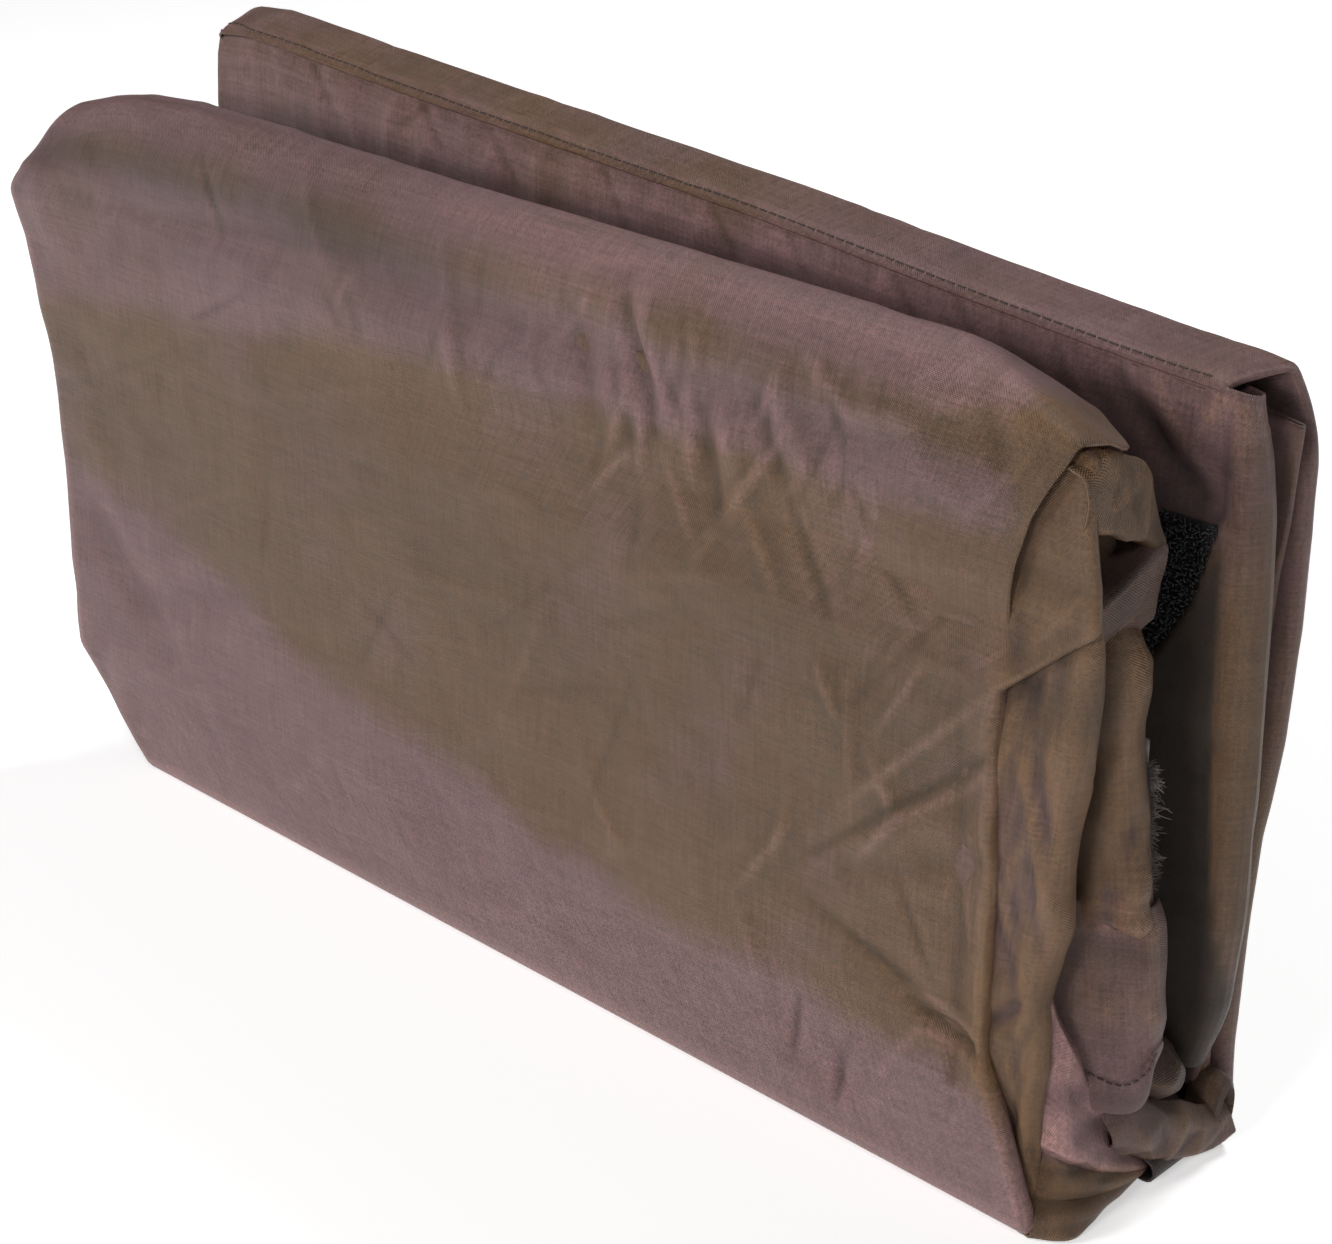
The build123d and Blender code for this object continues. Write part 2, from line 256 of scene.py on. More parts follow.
def pressed(u, v, folds=(), creases=()):
    """Crisp folds and pressed creases, added up. Each is (u, v, to u, to v, width, height)."""
    out = np.zeros_like(u)
    for u0, v0, u1, v1, width, height in folds:
        out += fold_line(u, v, (u0, v0), (u1, v1), width, height)
    for u0, v0, u1, v1, width, depth in creases:
        out += crease(u, v, (u0, v0), (u1, v1), width, depth)
    return out


def soft_spot(u, v, middle, size):
    """1 at the middle of a soft round spot, falling to 0 beyond its size."""
    return np.exp(-(((u - middle[0]) / size[0]) ** 2) - (((v - middle[1]) / size[1]) ** 2))


def scattered_folds(x, z, seed, count, area, length, width, height, lean=math.pi):
    """Crisp folds at seeded random places in an area (x, z, half width, half height).

    They lie within lean of upright, and are ridges and valleys alike.
    """
    chance = np.random.RandomState(seed)
    out = np.zeros_like(x)
    for _ in range(count):
        middle = np.array(area[:2]) + chance.uniform(-1, 1, 2) * area[2:]
        turn = chance.uniform(-lean, lean)
        half = 0.5 * length * chance.uniform(0.5, 1.2) * np.array([math.sin(turn), math.cos(turn)])
        size = height * chance.uniform(0.35, 1) * chance.choice([-1, 1])
        out += fold_line(x, z, middle - half, middle + half, width * chance.uniform(0.6, 1.4), size)
    return out


def smooth_step(value, low, high):
    """0 below low, 1 above high, and a smooth rise between."""
    share = np.clip((value - low) / (high - low), 0, 1)
    return share * share * (3 - 2 * share)


def crumple(grid, scale, seed, stretch=(1, 1, 1), sharp=0.0):
    """Noise over a grid, about -1 to 1: smooth, or with crisp ridges where sharp is near 1."""
    rows, columns = grid.shape[:2]
    out = np.zeros((rows, columns))
    offset = Vector((seed * 13.7, seed * 5.3, seed * 9.1))
    for i in range(rows):
        for j in range(columns):
            point = Vector(grid[i, j] * stretch) / scale + offset
            out[i, j] = noise.noise(point)
    return out if not sharp else out * (1 - sharp) + sharp * (1 - 4 * np.abs(out))


# ---- meshes ---------------------------------------------------------------------------------
def add_object(name, data):
    """A new object in the scene."""
    obj = bpy.data.objects.new(name, data)
    bpy.context.scene.collection.objects.link(obj)
    return obj


def mesh_from_grid(name, grid, tone, fade, thick):
    """A closed sheet of cloth from a grid in millimetres, with cloth UVs, its tone, and its painted light
    and shade (the "fade" attribute).
    """
    rows, columns = grid.shape[:2]
    vertices = (grid * MM).reshape(-1, 3)
    corner = np.arange(rows * columns).reshape(rows, columns)
    faces = np.stack(
        [corner[:-1, :-1], corner[:-1, 1:], corner[1:, 1:], corner[1:, :-1]], -1
    ).reshape(-1, 4)
    mesh = bpy.data.meshes.new(name)
    mesh.from_pydata(vertices.tolist(), [], faces.tolist())
    across = np.linalg.norm(np.diff(grid, axis=1), axis=2).mean(0)
    along = np.linalg.norm(np.diff(grid, axis=0), axis=2).mean(1)
    u = np.concatenate([[0], np.cumsum(across)])
    v = np.concatenate([[0], np.cumsum(along)])
    uv = np.stack(np.meshgrid(u, v), -1).reshape(-1, 2) * MM
    layer = mesh.uv_layers.new(name="cloth")
    loop_vertex = np.zeros(len(mesh.loops), int)
    mesh.loops.foreach_get("vertex_index", loop_vertex)
    layer.data.foreach_set("uv", uv[loop_vertex].ravel())
    # fade is painted light and shade, stored on the points
    for title, values in (("tone", tone), ("fade", fade)):
        layer = mesh.attributes.new(title, "FLOAT", "POINT")
        layer.data.foreach_set("value", values.ravel().astype(np.float32))
    mesh.polygons.foreach_set("use_smooth", [True] * len(mesh.polygons))
    obj = add_object(name, mesh)
    solid = obj.modifiers.new("thickness", "SOLIDIFY")
    solid.thickness = thick * MM
    solid.offset = 0
    solid.use_even_offset = False
    apply_modifiers(obj)
    return obj


def apply_modifiers(obj):
    """Replace an object's mesh by what its modifiers make of it."""
    graph = bpy.context.evaluated_depsgraph_get()
    made = bpy.data.meshes.new_from_object(obj.evaluated_get(graph))
    obj.modifiers.clear()
    obj.data = made


def standing_out(grid, outward, reach=2):
    """How far each point stands out from the cloth around it: crests above 0, valleys below."""
    inner = slice(reach, -reach)
    ahead, behind = slice(2 * reach, None), slice(None, -2 * reach)
    around = grid[ahead, inner] + grid[behind, inner] + grid[inner, ahead] + grid[inner, behind]
    raised = grid[inner, inner] - around / 4
    out = np.zeros(grid.shape[:2])
    out[inner, inner] = (raised * grid_normals(grid)[inner, inner]).sum(2)
    return np.clip(out * outward, -0.5, 0.5)


def developed(grid):
    """The flat (width, length) and area of a grid in metres."""
    across = np.linalg.norm(np.diff(grid, axis=1), axis=2).sum(1).max()
    along = np.linalg.norm(np.diff(grid, axis=0), axis=2).sum(0).max()
    a = grid[1:, :-1] - grid[:-1, :-1]
    b = grid[:-1, 1:] - grid[:-1, :-1]
    area = np.linalg.norm(np.cross(a, b), axis=2).sum()
    return (across * MM, along * MM), area * MM * MM


def cloth_sheet(name, grid, tone, fade, outward=1, slot="cover_cloth", thick=PLY):
    """A sheet of cloth; the flat size and area that its grid develops to are worked out, and not used.

    Its crests get a painted highlight and its folds painted shade, and the painted highlights are
    mauve on the faces and olive on the folded end. outward is +1 where the grid's normals
    point out of the fold.
    """
    # painted highlight on the crests and painted shade in the folds, from how far each point stands out
    painted_crest_shading = standing_out(grid, outward)
    mauve = 0.6 - 1.1 * smooth_step(grid[:, :, 0], END_X - 2, END_X + 10)
    obj = mesh_from_grid(name, grid, tone + mauve * painted_crest_shading, fade * (1 + 0.8 * painted_crest_shading), thick)
    obj.data.materials.append(MATERIALS[slot])
    flat, area = developed(grid)
    area = min(area, flat[0] * flat[1])
    return obj


# ---- materials ---------------------------------------------------------------------------------
def new_material(name):
    """A material with its node tree and its shader."""
    material = bpy.data.materials.new(name)
    material.use_nodes = True
    tree = material.node_tree
    shader = tree.nodes["Principled BSDF"]
    return material, tree, shader


def math_node(tree, operation, a, b=None, c=None):
    """A Math node; its inputs are sockets or numbers."""
    node = tree.nodes.new("ShaderNodeMath")
    node.operation = operation
    for index, value in enumerate((a, b, c)):
        if value is None:
            continue
        if isinstance(value, (int, float)):
            node.inputs[index].default_value = value
        else:
            tree.links.new(value, node.inputs[index])
    return node.outputs[0]


def add_up(tree, start, *shares):
    """start, a socket or a number, plus each (socket, share) pair's product."""
    for socket, share in shares:
        start = math_node(tree, "MULTIPLY_ADD", socket, share, start)
    return start


def attribute(tree, title):
    """The value that the sheets' points carry under a name."""
    node = tree.nodes.new("ShaderNodeAttribute")
    node.attribute_name = title
    return node.outputs["Fac"]


def mix_colour(tree, factor, a, b):
    """A colour mix; a and b are colours or sockets."""
    node = tree.nodes.new("ShaderNodeMix")
    node.data_type = "RGBA"
    node.clamp_factor = False
    tree.links.new(factor, node.inputs["Factor"])
    for index, value in ((6, a), (7, b)):
        if isinstance(value, tuple):
            node.inputs[index].default_value = (*value, 1)
        else:
            tree.links.new(value, node.inputs[index])
    return node.outputs[2]


def noise_value(tree, coordinates, scale, detail=3.0, rough=0.55):
    """Noise between 0 and 1."""
    node = tree.nodes.new("ShaderNodeTexNoise")
    node.inputs["Scale"].default_value = scale
    node.inputs["Detail"].default_value = detail
    node.inputs["Roughness"].default_value = rough
    tree.links.new(coordinates, node.inputs["Vector"])
    return node.outputs["Fac"]


def stretched(tree, vector, scale):
    """The same coordinates, scaled by a different amount on each axis."""
    node = tree.nodes.new("ShaderNodeMapping")
    node.inputs["Scale"].default_value = scale
    tree.links.new(vector, node.inputs["Vector"])
    return node.outputs["Vector"]


def bump(tree, height, strength, distance, under=None):
    """A Bump node over another one."""
    node = tree.nodes.new("ShaderNodeBump")
    node.inputs["Strength"].default_value = strength
    node.inputs["Distance"].default_value = distance
    tree.links.new(height, node.inputs["Height"])
    if under is not None:
        tree.links.new(under, node.inputs["Normal"])
    return node.outputs["Normal"]


def woven_threads(tree, threads):
    """The weave's ups and downs, -1 to 1, and the slubs in its threads, 0 to 1."""
    split = tree.nodes.new("ShaderNodeSeparateXYZ")
    tree.links.new(threads, split.inputs[0])
    turns = 2 * math.pi / THREAD_PITCH
    warp = math_node(tree, "SINE", math_node(tree, "MULTIPLY", split.outputs[0], turns))
    weft = math_node(tree, "SINE", math_node(tree, "MULTIPLY", split.outputs[1], turns))
    weave = math_node(tree, "MULTIPLY", warp, weft)
    warp_slub = noise_value(tree, stretched(tree, threads, (900, 45, 1)), 1.0, 2.0)
    weft_slub = noise_value(tree, stretched(tree, threads, (45, 900, 1)), 1.0, 2.0)
    slub = math_node(tree, "MULTIPLY", math_node(tree, "ADD", warp_slub, weft_slub), 0.5)
    return weave, slub


def cloth_material():
    """Coated plain-weave cloth, shot with two colours of thread: olive brown and mauve brown."""
    material, tree, shader = new_material("cover_cloth")
    uv = tree.nodes.new("ShaderNodeUVMap")
    uv.uv_map = "cloth"
    place = tree.nodes.new("ShaderNodeTexCoord").outputs["Object"]
    weave, slub = woven_threads(tree, uv.outputs["UV"])
    grain = noise_value(tree, place, 950.0, 1.0)
    blotch = noise_value(tree, place, 34.0, 3.0)

    # which of the two colours shows, and how light it is
    amount = add_up(tree, attribute(tree, "tone"), (blotch, 0.9), (slub, 1.0), (weave, 0.10))
    ramp = tree.nodes.new("ShaderNodeMapRange")
    ramp.interpolation_type = "SMOOTHSTEP"
    tree.links.new(math_node(tree, "ADD", amount, -0.95), ramp.inputs[0])
    colour = mix_colour(tree, ramp.outputs[0], OLIVE, MAUVE)
    speck = add_up(tree, -0.23, (grain, 1.15), (slub, 1.5), (weave, 0.12))
    # the "fade" attribute is painted light and shade, multiplied into the base colour
    light = math_node(tree, "MULTIPLY", speck, attribute(tree, "fade"))
    tree.links.new(mix_colour(tree, light, (0, 0, 0), colour), shader.inputs["Base Color"])

    # the coat's shine
    tree.links.new(add_up(tree, 0.27, (grain, 0.3)), shader.inputs["Roughness"])
    shader.inputs["Specular IOR Level"].default_value = 0.42
    shader.inputs["Sheen Weight"].default_value = 0.03
    shader.inputs["Sheen Roughness"].default_value = 0.4
    shader.inputs["Sheen Tint"].default_value = (0.9, 0.8, 0.84, 1)

    # threads, small rumples, and the sharp crinkles of a stiff coat
    threads_up = add_up(tree, weave, (slub, 1.4))
    small = bump(tree, threads_up, 0.9, 0.16 * MM)
    rumple = bump(tree, noise_value(tree, place, 75.0, 4.0, 0.6), 0.6, 1.7 * MM, small)
    middle = math_node(tree, "ADD", noise_value(tree, place, 24.0, 2.0), -0.5)
    crinkle = bump(tree, math_node(tree, "ABSOLUTE", middle), 0.55, 5.0 * MM, rumple)
    tree.links.new(crinkle, shader.inputs["Normal"])
    return material


def fibre_material(name, dark, light, rough, glint):
    """Fibres and threads: a colour that varies from one to the next, with fine ridges along them."""
    material, tree, shader = new_material(name)
    place = tree.nodes.new("ShaderNodeTexCoord").outputs["Object"]
    spot = noise_value(tree, place, 420.0, 2.0)
    tree.links.new(mix_colour(tree, spot, dark, light), shader.inputs["Base Color"])
    fine = noise_value(tree, place, 2600.0, 2.0)
    tree.links.new(math_node(tree, "MULTIPLY_ADD", fine, 0.3, rough), shader.inputs["Roughness"])
    tree.links.new(bump(tree, fine, 0.5, 0.1 * MM), shader.inputs["Normal"])
    shader.inputs["Specular IOR Level"].default_value = glint
    return material


THREAD_PITCH = 0.8 * MM
OLIVE = (0.078, 0.041, 0.018)
MAUVE = (0.100, 0.055, 0.053)
# fibres: their darkest and lightest colours, roughness and glint
FIBRES = {
    "thread": ((0.020, 0.012, 0.009), (0.065, 0.042, 0.034), 0.45, 0.4),
    "hook_tape": ((0.06, 0.05, 0.045), (0.24, 0.205, 0.185), 0.4, 0.45),
    "loop_tape": ((0.0015, 0.0015, 0.0017), (0.011, 0.011, 0.012), 0.32, 0.7),
}
MATERIALS = {"cover_cloth": cloth_material()}
MATERIALS.update({name: fibre_material(name, *look) for name, look in FIBRES.items()})


def two_tone(grid, seed, bias):
    """How mauve the cloth looks, from broad bands and soft blotches."""
    x, z = grid[:, :, 0], grid[:, :, 2]
    band = np.sin(z / 34.0 + 0.8 * np.sin(x / 75.0 + seed) + seed)
    wide = np.sin(x / 95.0 + z / 120.0 + 1.7 * seed)
    return bias + 0.22 * band + 0.12 * wide


def front_tone(grid):
    """The front cover's two colours of thread are real; where the mauve shows is painted sheen: mauve below
    the ridge, on the crown, on a crease and along the bottom, olive between.
    """
    x, y, z = axes(grid)
    band_low = np.interp(x, [-250, -120, -60, 60, 210], [176, 192, 204, 212, 216])
    band = smooth_step(z, band_low, band_low + 14) * (1 - smooth_step(z, 236, 248))
    line = np.interp(x, [-250, -160, -60, 60, 210], [125, 105, 74, 54, 46])
    foot = 1 - smooth_step(z, line - 14, line + 12)
    ridge = 1.1 * smooth_step(y, -45.5, -37)
    soft = 0.10 * np.sin(x / 23.0 + z / 31.0) + 0.08 * np.sin(x / 11.0 - z / 17.0)
    creased = 0.5 * soft_spot(x, z, (66, 226), (14, 22))
    end = 0.5 * smooth_step(x, END_X + 5, END_X + 14) * smooth_step(z, 150, 200)
    return 0.10 + 0.72 * np.clip(band + foot + ridge, 0, 1) + soft + 0.3 * foot + creased - end


def front_painted_shading(grid):
    """Painted light and shade on the front cover's cloth: painted shade under the ridge, painted light
    along the foot and on the crown.
    """
    x, y, z = axes(grid)
    heights = [0, 30, 60, 110, 150, 175, 205, 228, 246, 256]
    fade = np.interp(z, heights, [1.45, 1.35, 1.15, 1.02, 0.93, 0.97, 1.08, 1.0, 0.87, 0.98])
    under_left = 0.15 * smooth_step(z, 205, 225) * smooth_step(x, -220, -150)
    fade -= (1 - smooth_step(x, -80, 40)) * (under_left + 0.22 * smooth_step(z, 230, 246))
    crown = 0.55 * smooth_step(y, -44.5, -34) * (y < 0)
    return fade + crown + 0.04 * np.sin(x / 31.0 + z / 13.0)


def strip_edge(z):
    """Where the lit strip beside the back flap's rolled edge begins, at height z."""
    heights = [37, 60, 99, 134, 175, 226, 249]
    return np.interp(z, heights, [248.5, 250.0, 243.6, 239.5, 239.3, 237.9, 236.2])


def back_painted_shading(grid):
    """The back half's cloth: painted shade deep in the gap's right end, painted light up by the ridge, and
    darker on the rolled strip.
    """
    x, y, z = axes(grid)
    past_strip = x - strip_edge(z)
    in_gap = y < 30
    # painted shade deep in the gap, where the front half shadows it
    deep = (1 - smooth_step(z, 190, 240)) * (1 - smooth_step(past_strip, -1.5, 1))
    deep *= in_gap * smooth_step(x, 110, 200)
    streaks = 0.12 * np.sin(x / 9.0 + z / 14.0) * np.sin(x / 23.0 - z / 19.0)
    low_down = 1 - smooth_step(z, 60, 160)
    edge = smooth_step(past_strip, -1, 1) * (0.20 + 0.12 * low_down) * in_gap
    ridge = (0.42 + streaks) * smooth_step(z, 232, 258) * (y < 40)
    return 1.0 - edge - 0.78 * deep + ridge


def capped(grid, controls, fall=0.45, ease=2.0):
    """Flatten a sheet's top under a roof: (x, height) pairs, and its fall per mm towards the gap."""
    places, heights = zip(*controls)
    roof = np.interp(grid[:, :, 0], places, heights) - fall * np.maximum(grid[:, :, 1] + 34, 0)
    over = np.clip((grid[:, :, 2] - roof) / ease, -30, 30)
    grid[:, :, 2] -= ease * np.log1p(np.exp(over))
    return grid


# painted highlights on the folded end's crests: (y, z, half width, half height, how much lighter)
END_PAINTED_HIGHLIGHTS = [
    (-17, 236, 5, 5, 0.35), (-33, 243, 5, 5, 0.25), (-37, 140, 3, 50, 0.2), (-32, 120, 2, 60, 0.3),
    (-20, 160, 3, 36, 0.25), (-22, 108, 7, 5, 0.35), (-17, 101, 9, 2.5, 0.35), (-12, 70, 5, 18, 0.15),
    (-33, 40, 8, 22, 0.3), (-30, 14, 8, 2, 0.5), (-14, 8, 8, 1.6, 0.5), (22, 22, 10, 6, 0.15),
    (33, 10, 8, 5, 0.25),
]
# painted shade in the hollows there: (y, z, half width, half height, how much darker)
END_PAINTED_SHADE = [
    (-31, 214, 8, 8, 0.55), (-22, 214, 7, 5, 0.3), (-37, 176, 6, 13, 0.45), (-26, 150, 2.4, 60, 0.45),
    (-9, 150, 3.5, 55, 0.25), (-20, 92, 8, 4, 0.25), (-22, 42, 6, 4, 0.35), (-8, 40, 8, 7, 0.45),
    (11, 37, 9, 10, 0.65), (0, 24, 7, 5, 0.3), (-25, 20, 9, 1.6, 0.4), (-22, 10, 12, 6, 0.1),
]


def end_painted_shading(grid):
    """How light the cloth is on the folded end: painted highlights on the crests, and painted shade in the
    folds.
    """
    x, y, z = axes(grid)
    lighter = np.zeros(x.shape)
    for sign, spots in ((1, END_PAINTED_HIGHLIGHTS), (-1, END_PAINTED_SHADE)):
        for y_mid, z_mid, wide, tall, strength in spots:
            lighter += sign * strength * soft_spot(y, z, (y_mid, z_mid), (wide, tall))
    return 1 + lighter * smooth_step(x, END_X, END_X + 14)


def raise_crown(grid, low, high, controls):
    """Lift or lower a sheet's top: controls are (x, rise) pairs, in full above height high."""
    places, rises = zip(*controls)
    rise = np.interp(grid[:, :, 0], places, rises)
    grid[:, :, 2] += rise * smooth_step(grid[:, :, 2], low, high)
    return grid


def sheet_height(path):
    """How far up a sheet each row is: its height up to the crown, then counted on past it."""
    reach = distances(path)
    top = np.argmax(path[:, 1])
    past = path[top, 1] + reach - reach[top]
    return np.where(np.arange(len(path)) < top, path[:, 1], past)


def upright(y_points, z_low, z_high, step=STEP):
    """A Y-Z path that climbs from z_low to z_high through (height, y) pairs."""
    heights, places = zip(*y_points)
    z = np.linspace(z_low, z_high, int((z_high - z_low) / step) + 1)
    return np.stack([np.interp(z, heights, places), z], 1)


# ---- the front half --------------------------------------------------------------------------
# the front face's crisp folds and pressed creases: (x, z, to x, to z, width, height)
FRONT_FOLDS = [
    (62, 250, 80, 226, 2.6, 1.2), (86, 252, 97, 222, 2.4, 1.0), (132, 92, 212, 162, 6.0, -2.2),
    (134, 84, 212, 58, 6.0, -2.4), (160, 112, 204, 148, 3.0, 0.8), (150, 150, 206, 216, 6.0, -1.5),
    (192, 182, 199, 20, 6.0, -2.0), (204, 150, 207, 30, 3.0, 1.2), (10, 20, 120, 96, 12.0, 0.8),
    (-230, 150, -130, 196, 12.0, -1.2), (-204, 226, -40, 242, 9.0, -1.3),
    (128, 252, 156, 236, 3.0, 1.3), (140, 240, 176, 243, 3.0, 1.2), (-22, 236, -12, 205, 4.0, 1.0),
    (168, 36, 206, 44, 2.4, 1.3), (150, 118, 205, 176, 3.0, 1.2),
]
FRONT_CREASES = [
    (58, 254, 74, 218, 4.2, 2.2), (92, 236, 101, 196, 4.5, 1.8), (34, 250, 52, 208, 6.0, 1.3),
    (146, 94, 212, 124, 6.0, 1.2), (180, 64, 212, 56, 2.6, 2.6), (112, 240, 128, 212, 4.0, 1.2),
    (-238, 205, -110, 240, 14.0, 1.8), (-236, 118, -170, 50, 10.0, 1.7),
    (-222, 60, -110, 104, 9.0, 1.1), (-60, 236, 190, 232, 8.0, 1.5), (-70, 60, 60, 18, 12.0, 0.9),
]
# its seeded smaller folds: seed, count, area, length, width, height and lean
FRONT_SCATTER = [
    (31, 30, (160, 130, 46, 110), 40, 2.2, 1.3, 0.7),
    (32, 24, (-60, 130, 160, 100), 70, 5.0, 0.9),
    (34, 22, (40, 228, 190, 18), 30, 2.4, 0.8, 0.6),
    (35, 14, (90, 212, 60, 34), 46, 2.8, 1.2, 0.8),
]


def front_creases(x, z):
    """Pressed creases and dents of the front face, as height out of the face in mm."""
    out = pressed(x, z, FRONT_FOLDS, FRONT_CREASES)
    for kind in FRONT_SCATTER:
        out += scattered_folds(x, z, *kind)
    return out


def front_cover():
    """The outer sheet of the front half: from under the spine, up the face, over the ridge."""
    path = smooth_path([
        (-4, 0.7), (-20, 0.7), (-HINGE_Y + 2, 0.7), (-SKIN + 2.5, 3.2), (-SKIN, 9), (-SKIN, 30),
        (-SKIN + 2.0, 90), (-SKIN + 2.6, 150), (-SKIN + 2.2, 205), (-SKIN + 2.4, 232),
        (-SKIN + 5.4, 248), (-SKIN + 12, CROWN - 3), (-25, CROWN + 1), (-16, CROWN - 4),
        (-10.5, CROWN - 13), (-9.4, CROWN - 23),
    ])
    up = sheet_height(path)
    left = varying(up, [(0, -196), (8, -200), (44, -236), (120, -239), (160, -240), (206, -249),
                        (222, -255.5), (230, -249), (246, -243.5), (262, -236), (280, -234),
                        (300, -236)], 1)
    right = varying(up, [(0, 228), (10, 227), (38, 216), (58, 207), (117, 206.5), (158, 205),
                         (177, 206), (203, 236.3), (212, 235), (222, 233), (232, 231.3),
                         (246, 230), (254, 228.5), (262, 225), (270, 220), (300, 214)], 1)
    left_roll = varying(up, [(0, 4), (60, 5.5), (215, 4.0), (250, 5), (300, 4)])
    right_roll = varying(up, [(0, 3.4), (168, 3.4), (180, 1.3), (300, 1.2)], 2)
    grid, depth = wrapped_grid(path, 1, left, right, left_roll, right_roll, (16, 22))

    # the cover sinks where the loose corner lies over it
    x, z = grid[:, :, 0], grid[:, :, 2]
    under_ear = smooth_step(x, 170, 204) * smooth_step(z, 204, 216)
    over_ridge = smooth_step(up, 240, 258)[:, None]
    beside_ear = smooth_step(x, END_X + 5, END_X + 12) * smooth_step(z, 176, 188)
    grid = push(grid, front_relief(grid) * on_face(grid, depth))
    grid[:, :, 1] += 1.5 * under_ear * (1 - over_ridge) + 1.2 * beside_ear
    grid[:, :, 2] -= 2.8 * under_ear * over_ridge
    grid = raise_crown(grid, 226, 254, [(-250, -14), (-236, -10), (-212, -3), (-190, 2),
                                        (-165, 4), (188, 4), (236, 3)])
    grid = capped(grid, [(-250, 300), (164, 300), (178, 270), (192, 264), (205, 258.5),
                         (225, 251), (233, 248)])
    grid[:, :, 1] = np.maximum(grid[:, :, 1], -SKIN)
    return grid


def on_face(grid, depth):
    """1 on an outer sheet's face and ridge, 0 on its turned-in ends and where it meets the floor."""
    return np.clip(1 - depth / 3, 0, 1) * np.clip((grid[:, :, 2] - 12) / 12, 0, 1)


def front_relief(grid):
    """How far the front cover's surface stands out: creases, crumples and the ridge's dents."""
    x, y, z = axes(grid)
    near_end = np.clip((np.abs(x) - 140) / 80, 0, 1)
    ruffle = crumple(grid, 46, 1, (1, 1, 0.6)) * 1.5 + crumple(grid, 17, 2) * (0.35 + 0.6 * near_end)
    ruffle *= 1 - 0.6 * smooth_step(z, 236, 252)
    relief = 1.3 * front_creases(x, z) * (y < -30)
    relief += scattered_folds(x, y, 33, 14, (0, -20, 230, 16), 30, 4.0, 0.45) * (z > 236)
    relief += pressed(x, z, [(212, 190, 233, 214, 3, 1.0)]) * (z > 180)
    return relief - ruffle


def dog_ear():
    """The loose corner of the ridge: a ply that lies over the cover and ends in a curved free edge."""
    path = smooth_path([
        (-SKIN + 0.6, 192), (-SKIN + 0.9, 222), (-SKIN + 1.4, 234), (-SKIN + 4.0, 248), (-41, 256),
        (-35, 262.5), (-25, CROWN + 5.2), (-16, CROWN + 0.4), (-10.8, CROWN - 9),
    ])
    up = sheet_height(path)
    edge = varying(up, [(192, 207), (200, 208.5), (216, 210.3), (231, 214.6), (241, 219.5),
                        (248, 223.5), (256, 226.5), (262, 229), (266, 231), (270, 226),
                        (276, 217), (290, 205)], 1)
    grid, _ = wrapped_grid(path, 1, np.full(len(up), 148.0), edge)
    x, z = grid[:, :, 0], grid[:, :, 2]
    sink = 2.5 * (1 - smooth_step(x, 150, 176) * smooth_step(z, 194, 210)) - 0.08
    lift = 0.5 * np.exp(-(((x - edge[:, None]) / 5) ** 2)) * smooth_step(z, 226, 244)
    folds = pressed(
        x, z,
        [(168, 248, 204, 262, 3.4, 0.9), (190, 222, 216, 252, 3.4, 0.8), (160, 240, 196, 226, 3.0, 0.6)],
        [(186, 268, 206, 238, 5, 1.0)],
    )
    grid = push(grid, lift + folds * smooth_step(x, 168, 180) - sink)
    grid[:, :, 1] = np.maximum(grid[:, :, 1], -SKIN)
    return capped(grid, [(148, 300), (168, 276), (188, 268.5), (205, 262), (225, 254.8), (232, 252.2)])


def end_gather():
    """The bulge between the dog-ear and the flap's fold edge, with a hollow under it."""
    grid = net_grid([
        [(222, -43, 247), (225, -34, 249.5), (225, -24, 245),
         (225, -17, 240.5), (224, -15.5, 236), (221, -8, 219)],
        [(228, -43.3, 245), (229.5, -34, 249.5), (229, -24, 245.6),
         (229, -16.5, 241), (229.6, -14.8, 236.5), (231, -8.8, 218.8)],
        [(230, -43.3, 240), (231.5, -36, 240), (231.5, -26, 237),
         (231.5, -18, 232), (231.8, -15, 229.5), (231.8, -9, 216)],
        [(229.5, -43, 233), (231.5, -38.5, 230.5), (232.5, -30, 227),
         (232, -22, 223), (231.5, -16, 221.5), (231, -9.2, 214)],
        [(226, -42.5, 231), (226, -38, 229), (226, -30, 226),
         (226, -22, 222), (227, -16, 220), (228, -9, 213)],
        [(214, -42, 232), (213, -38, 231), (213, -30, 228),
         (214, -22, 224), (217, -16, 220), (221, -9, 213)],
    ], 8)
    y, z = grid[:, :, 1], grid[:, :, 2]
    folds = pressed(y, z, [(-40, 234, -17, 241, 1.4, 1.7), (-17, 241, -20, 223, 1.3, 1.5),
                           (-38, 232, -28, 246, 1.3, -1.0)])
    folds += scattered_folds(y, z, 51, 10, (-27, 235, 10, 7), 11, 1.0, 0.6)
    return push(grid, -0.45 * crumple(grid, 10, 66, (1, 1, 1), 0.8) - folds)


def gather_fold():
    """The fold that runs from the flap's edge in and down under the hollow."""
    grid = net_grid([
        [(222, -8, 219), (219, -17, 214.5), (216, -26, 210), (214, -36, 206)],
        [(231.5, -8.5, 217.5), (231.5, -15, 215), (230, -25, 210), (229, -36.5, 204.8)],
        [(233, -9, 213.5), (232.8, -15, 211), (231.3, -25, 206), (229.8, -36.5, 200.5)],
        [(232, -9.5, 206), (231.5, -16, 202), (229, -26, 196), (227, -36.5, 190)],
        [(231, -10, 195), (228, -17, 190), (223, -27, 182), (218, -36, 174)],
    ], 8)
    y, z = grid[:, :, 1], grid[:, :, 2]
    folds = pressed(y, z, [(-9, 215, -36, 202, 0.9, 1.5), (-9, 210, -35, 195, 1.1, -1.5),
                           (-10, 203, -32, 186, 1.2, 1.1)])
    return push(grid, 0.4 * crumple(grid, 8, 25) - folds)


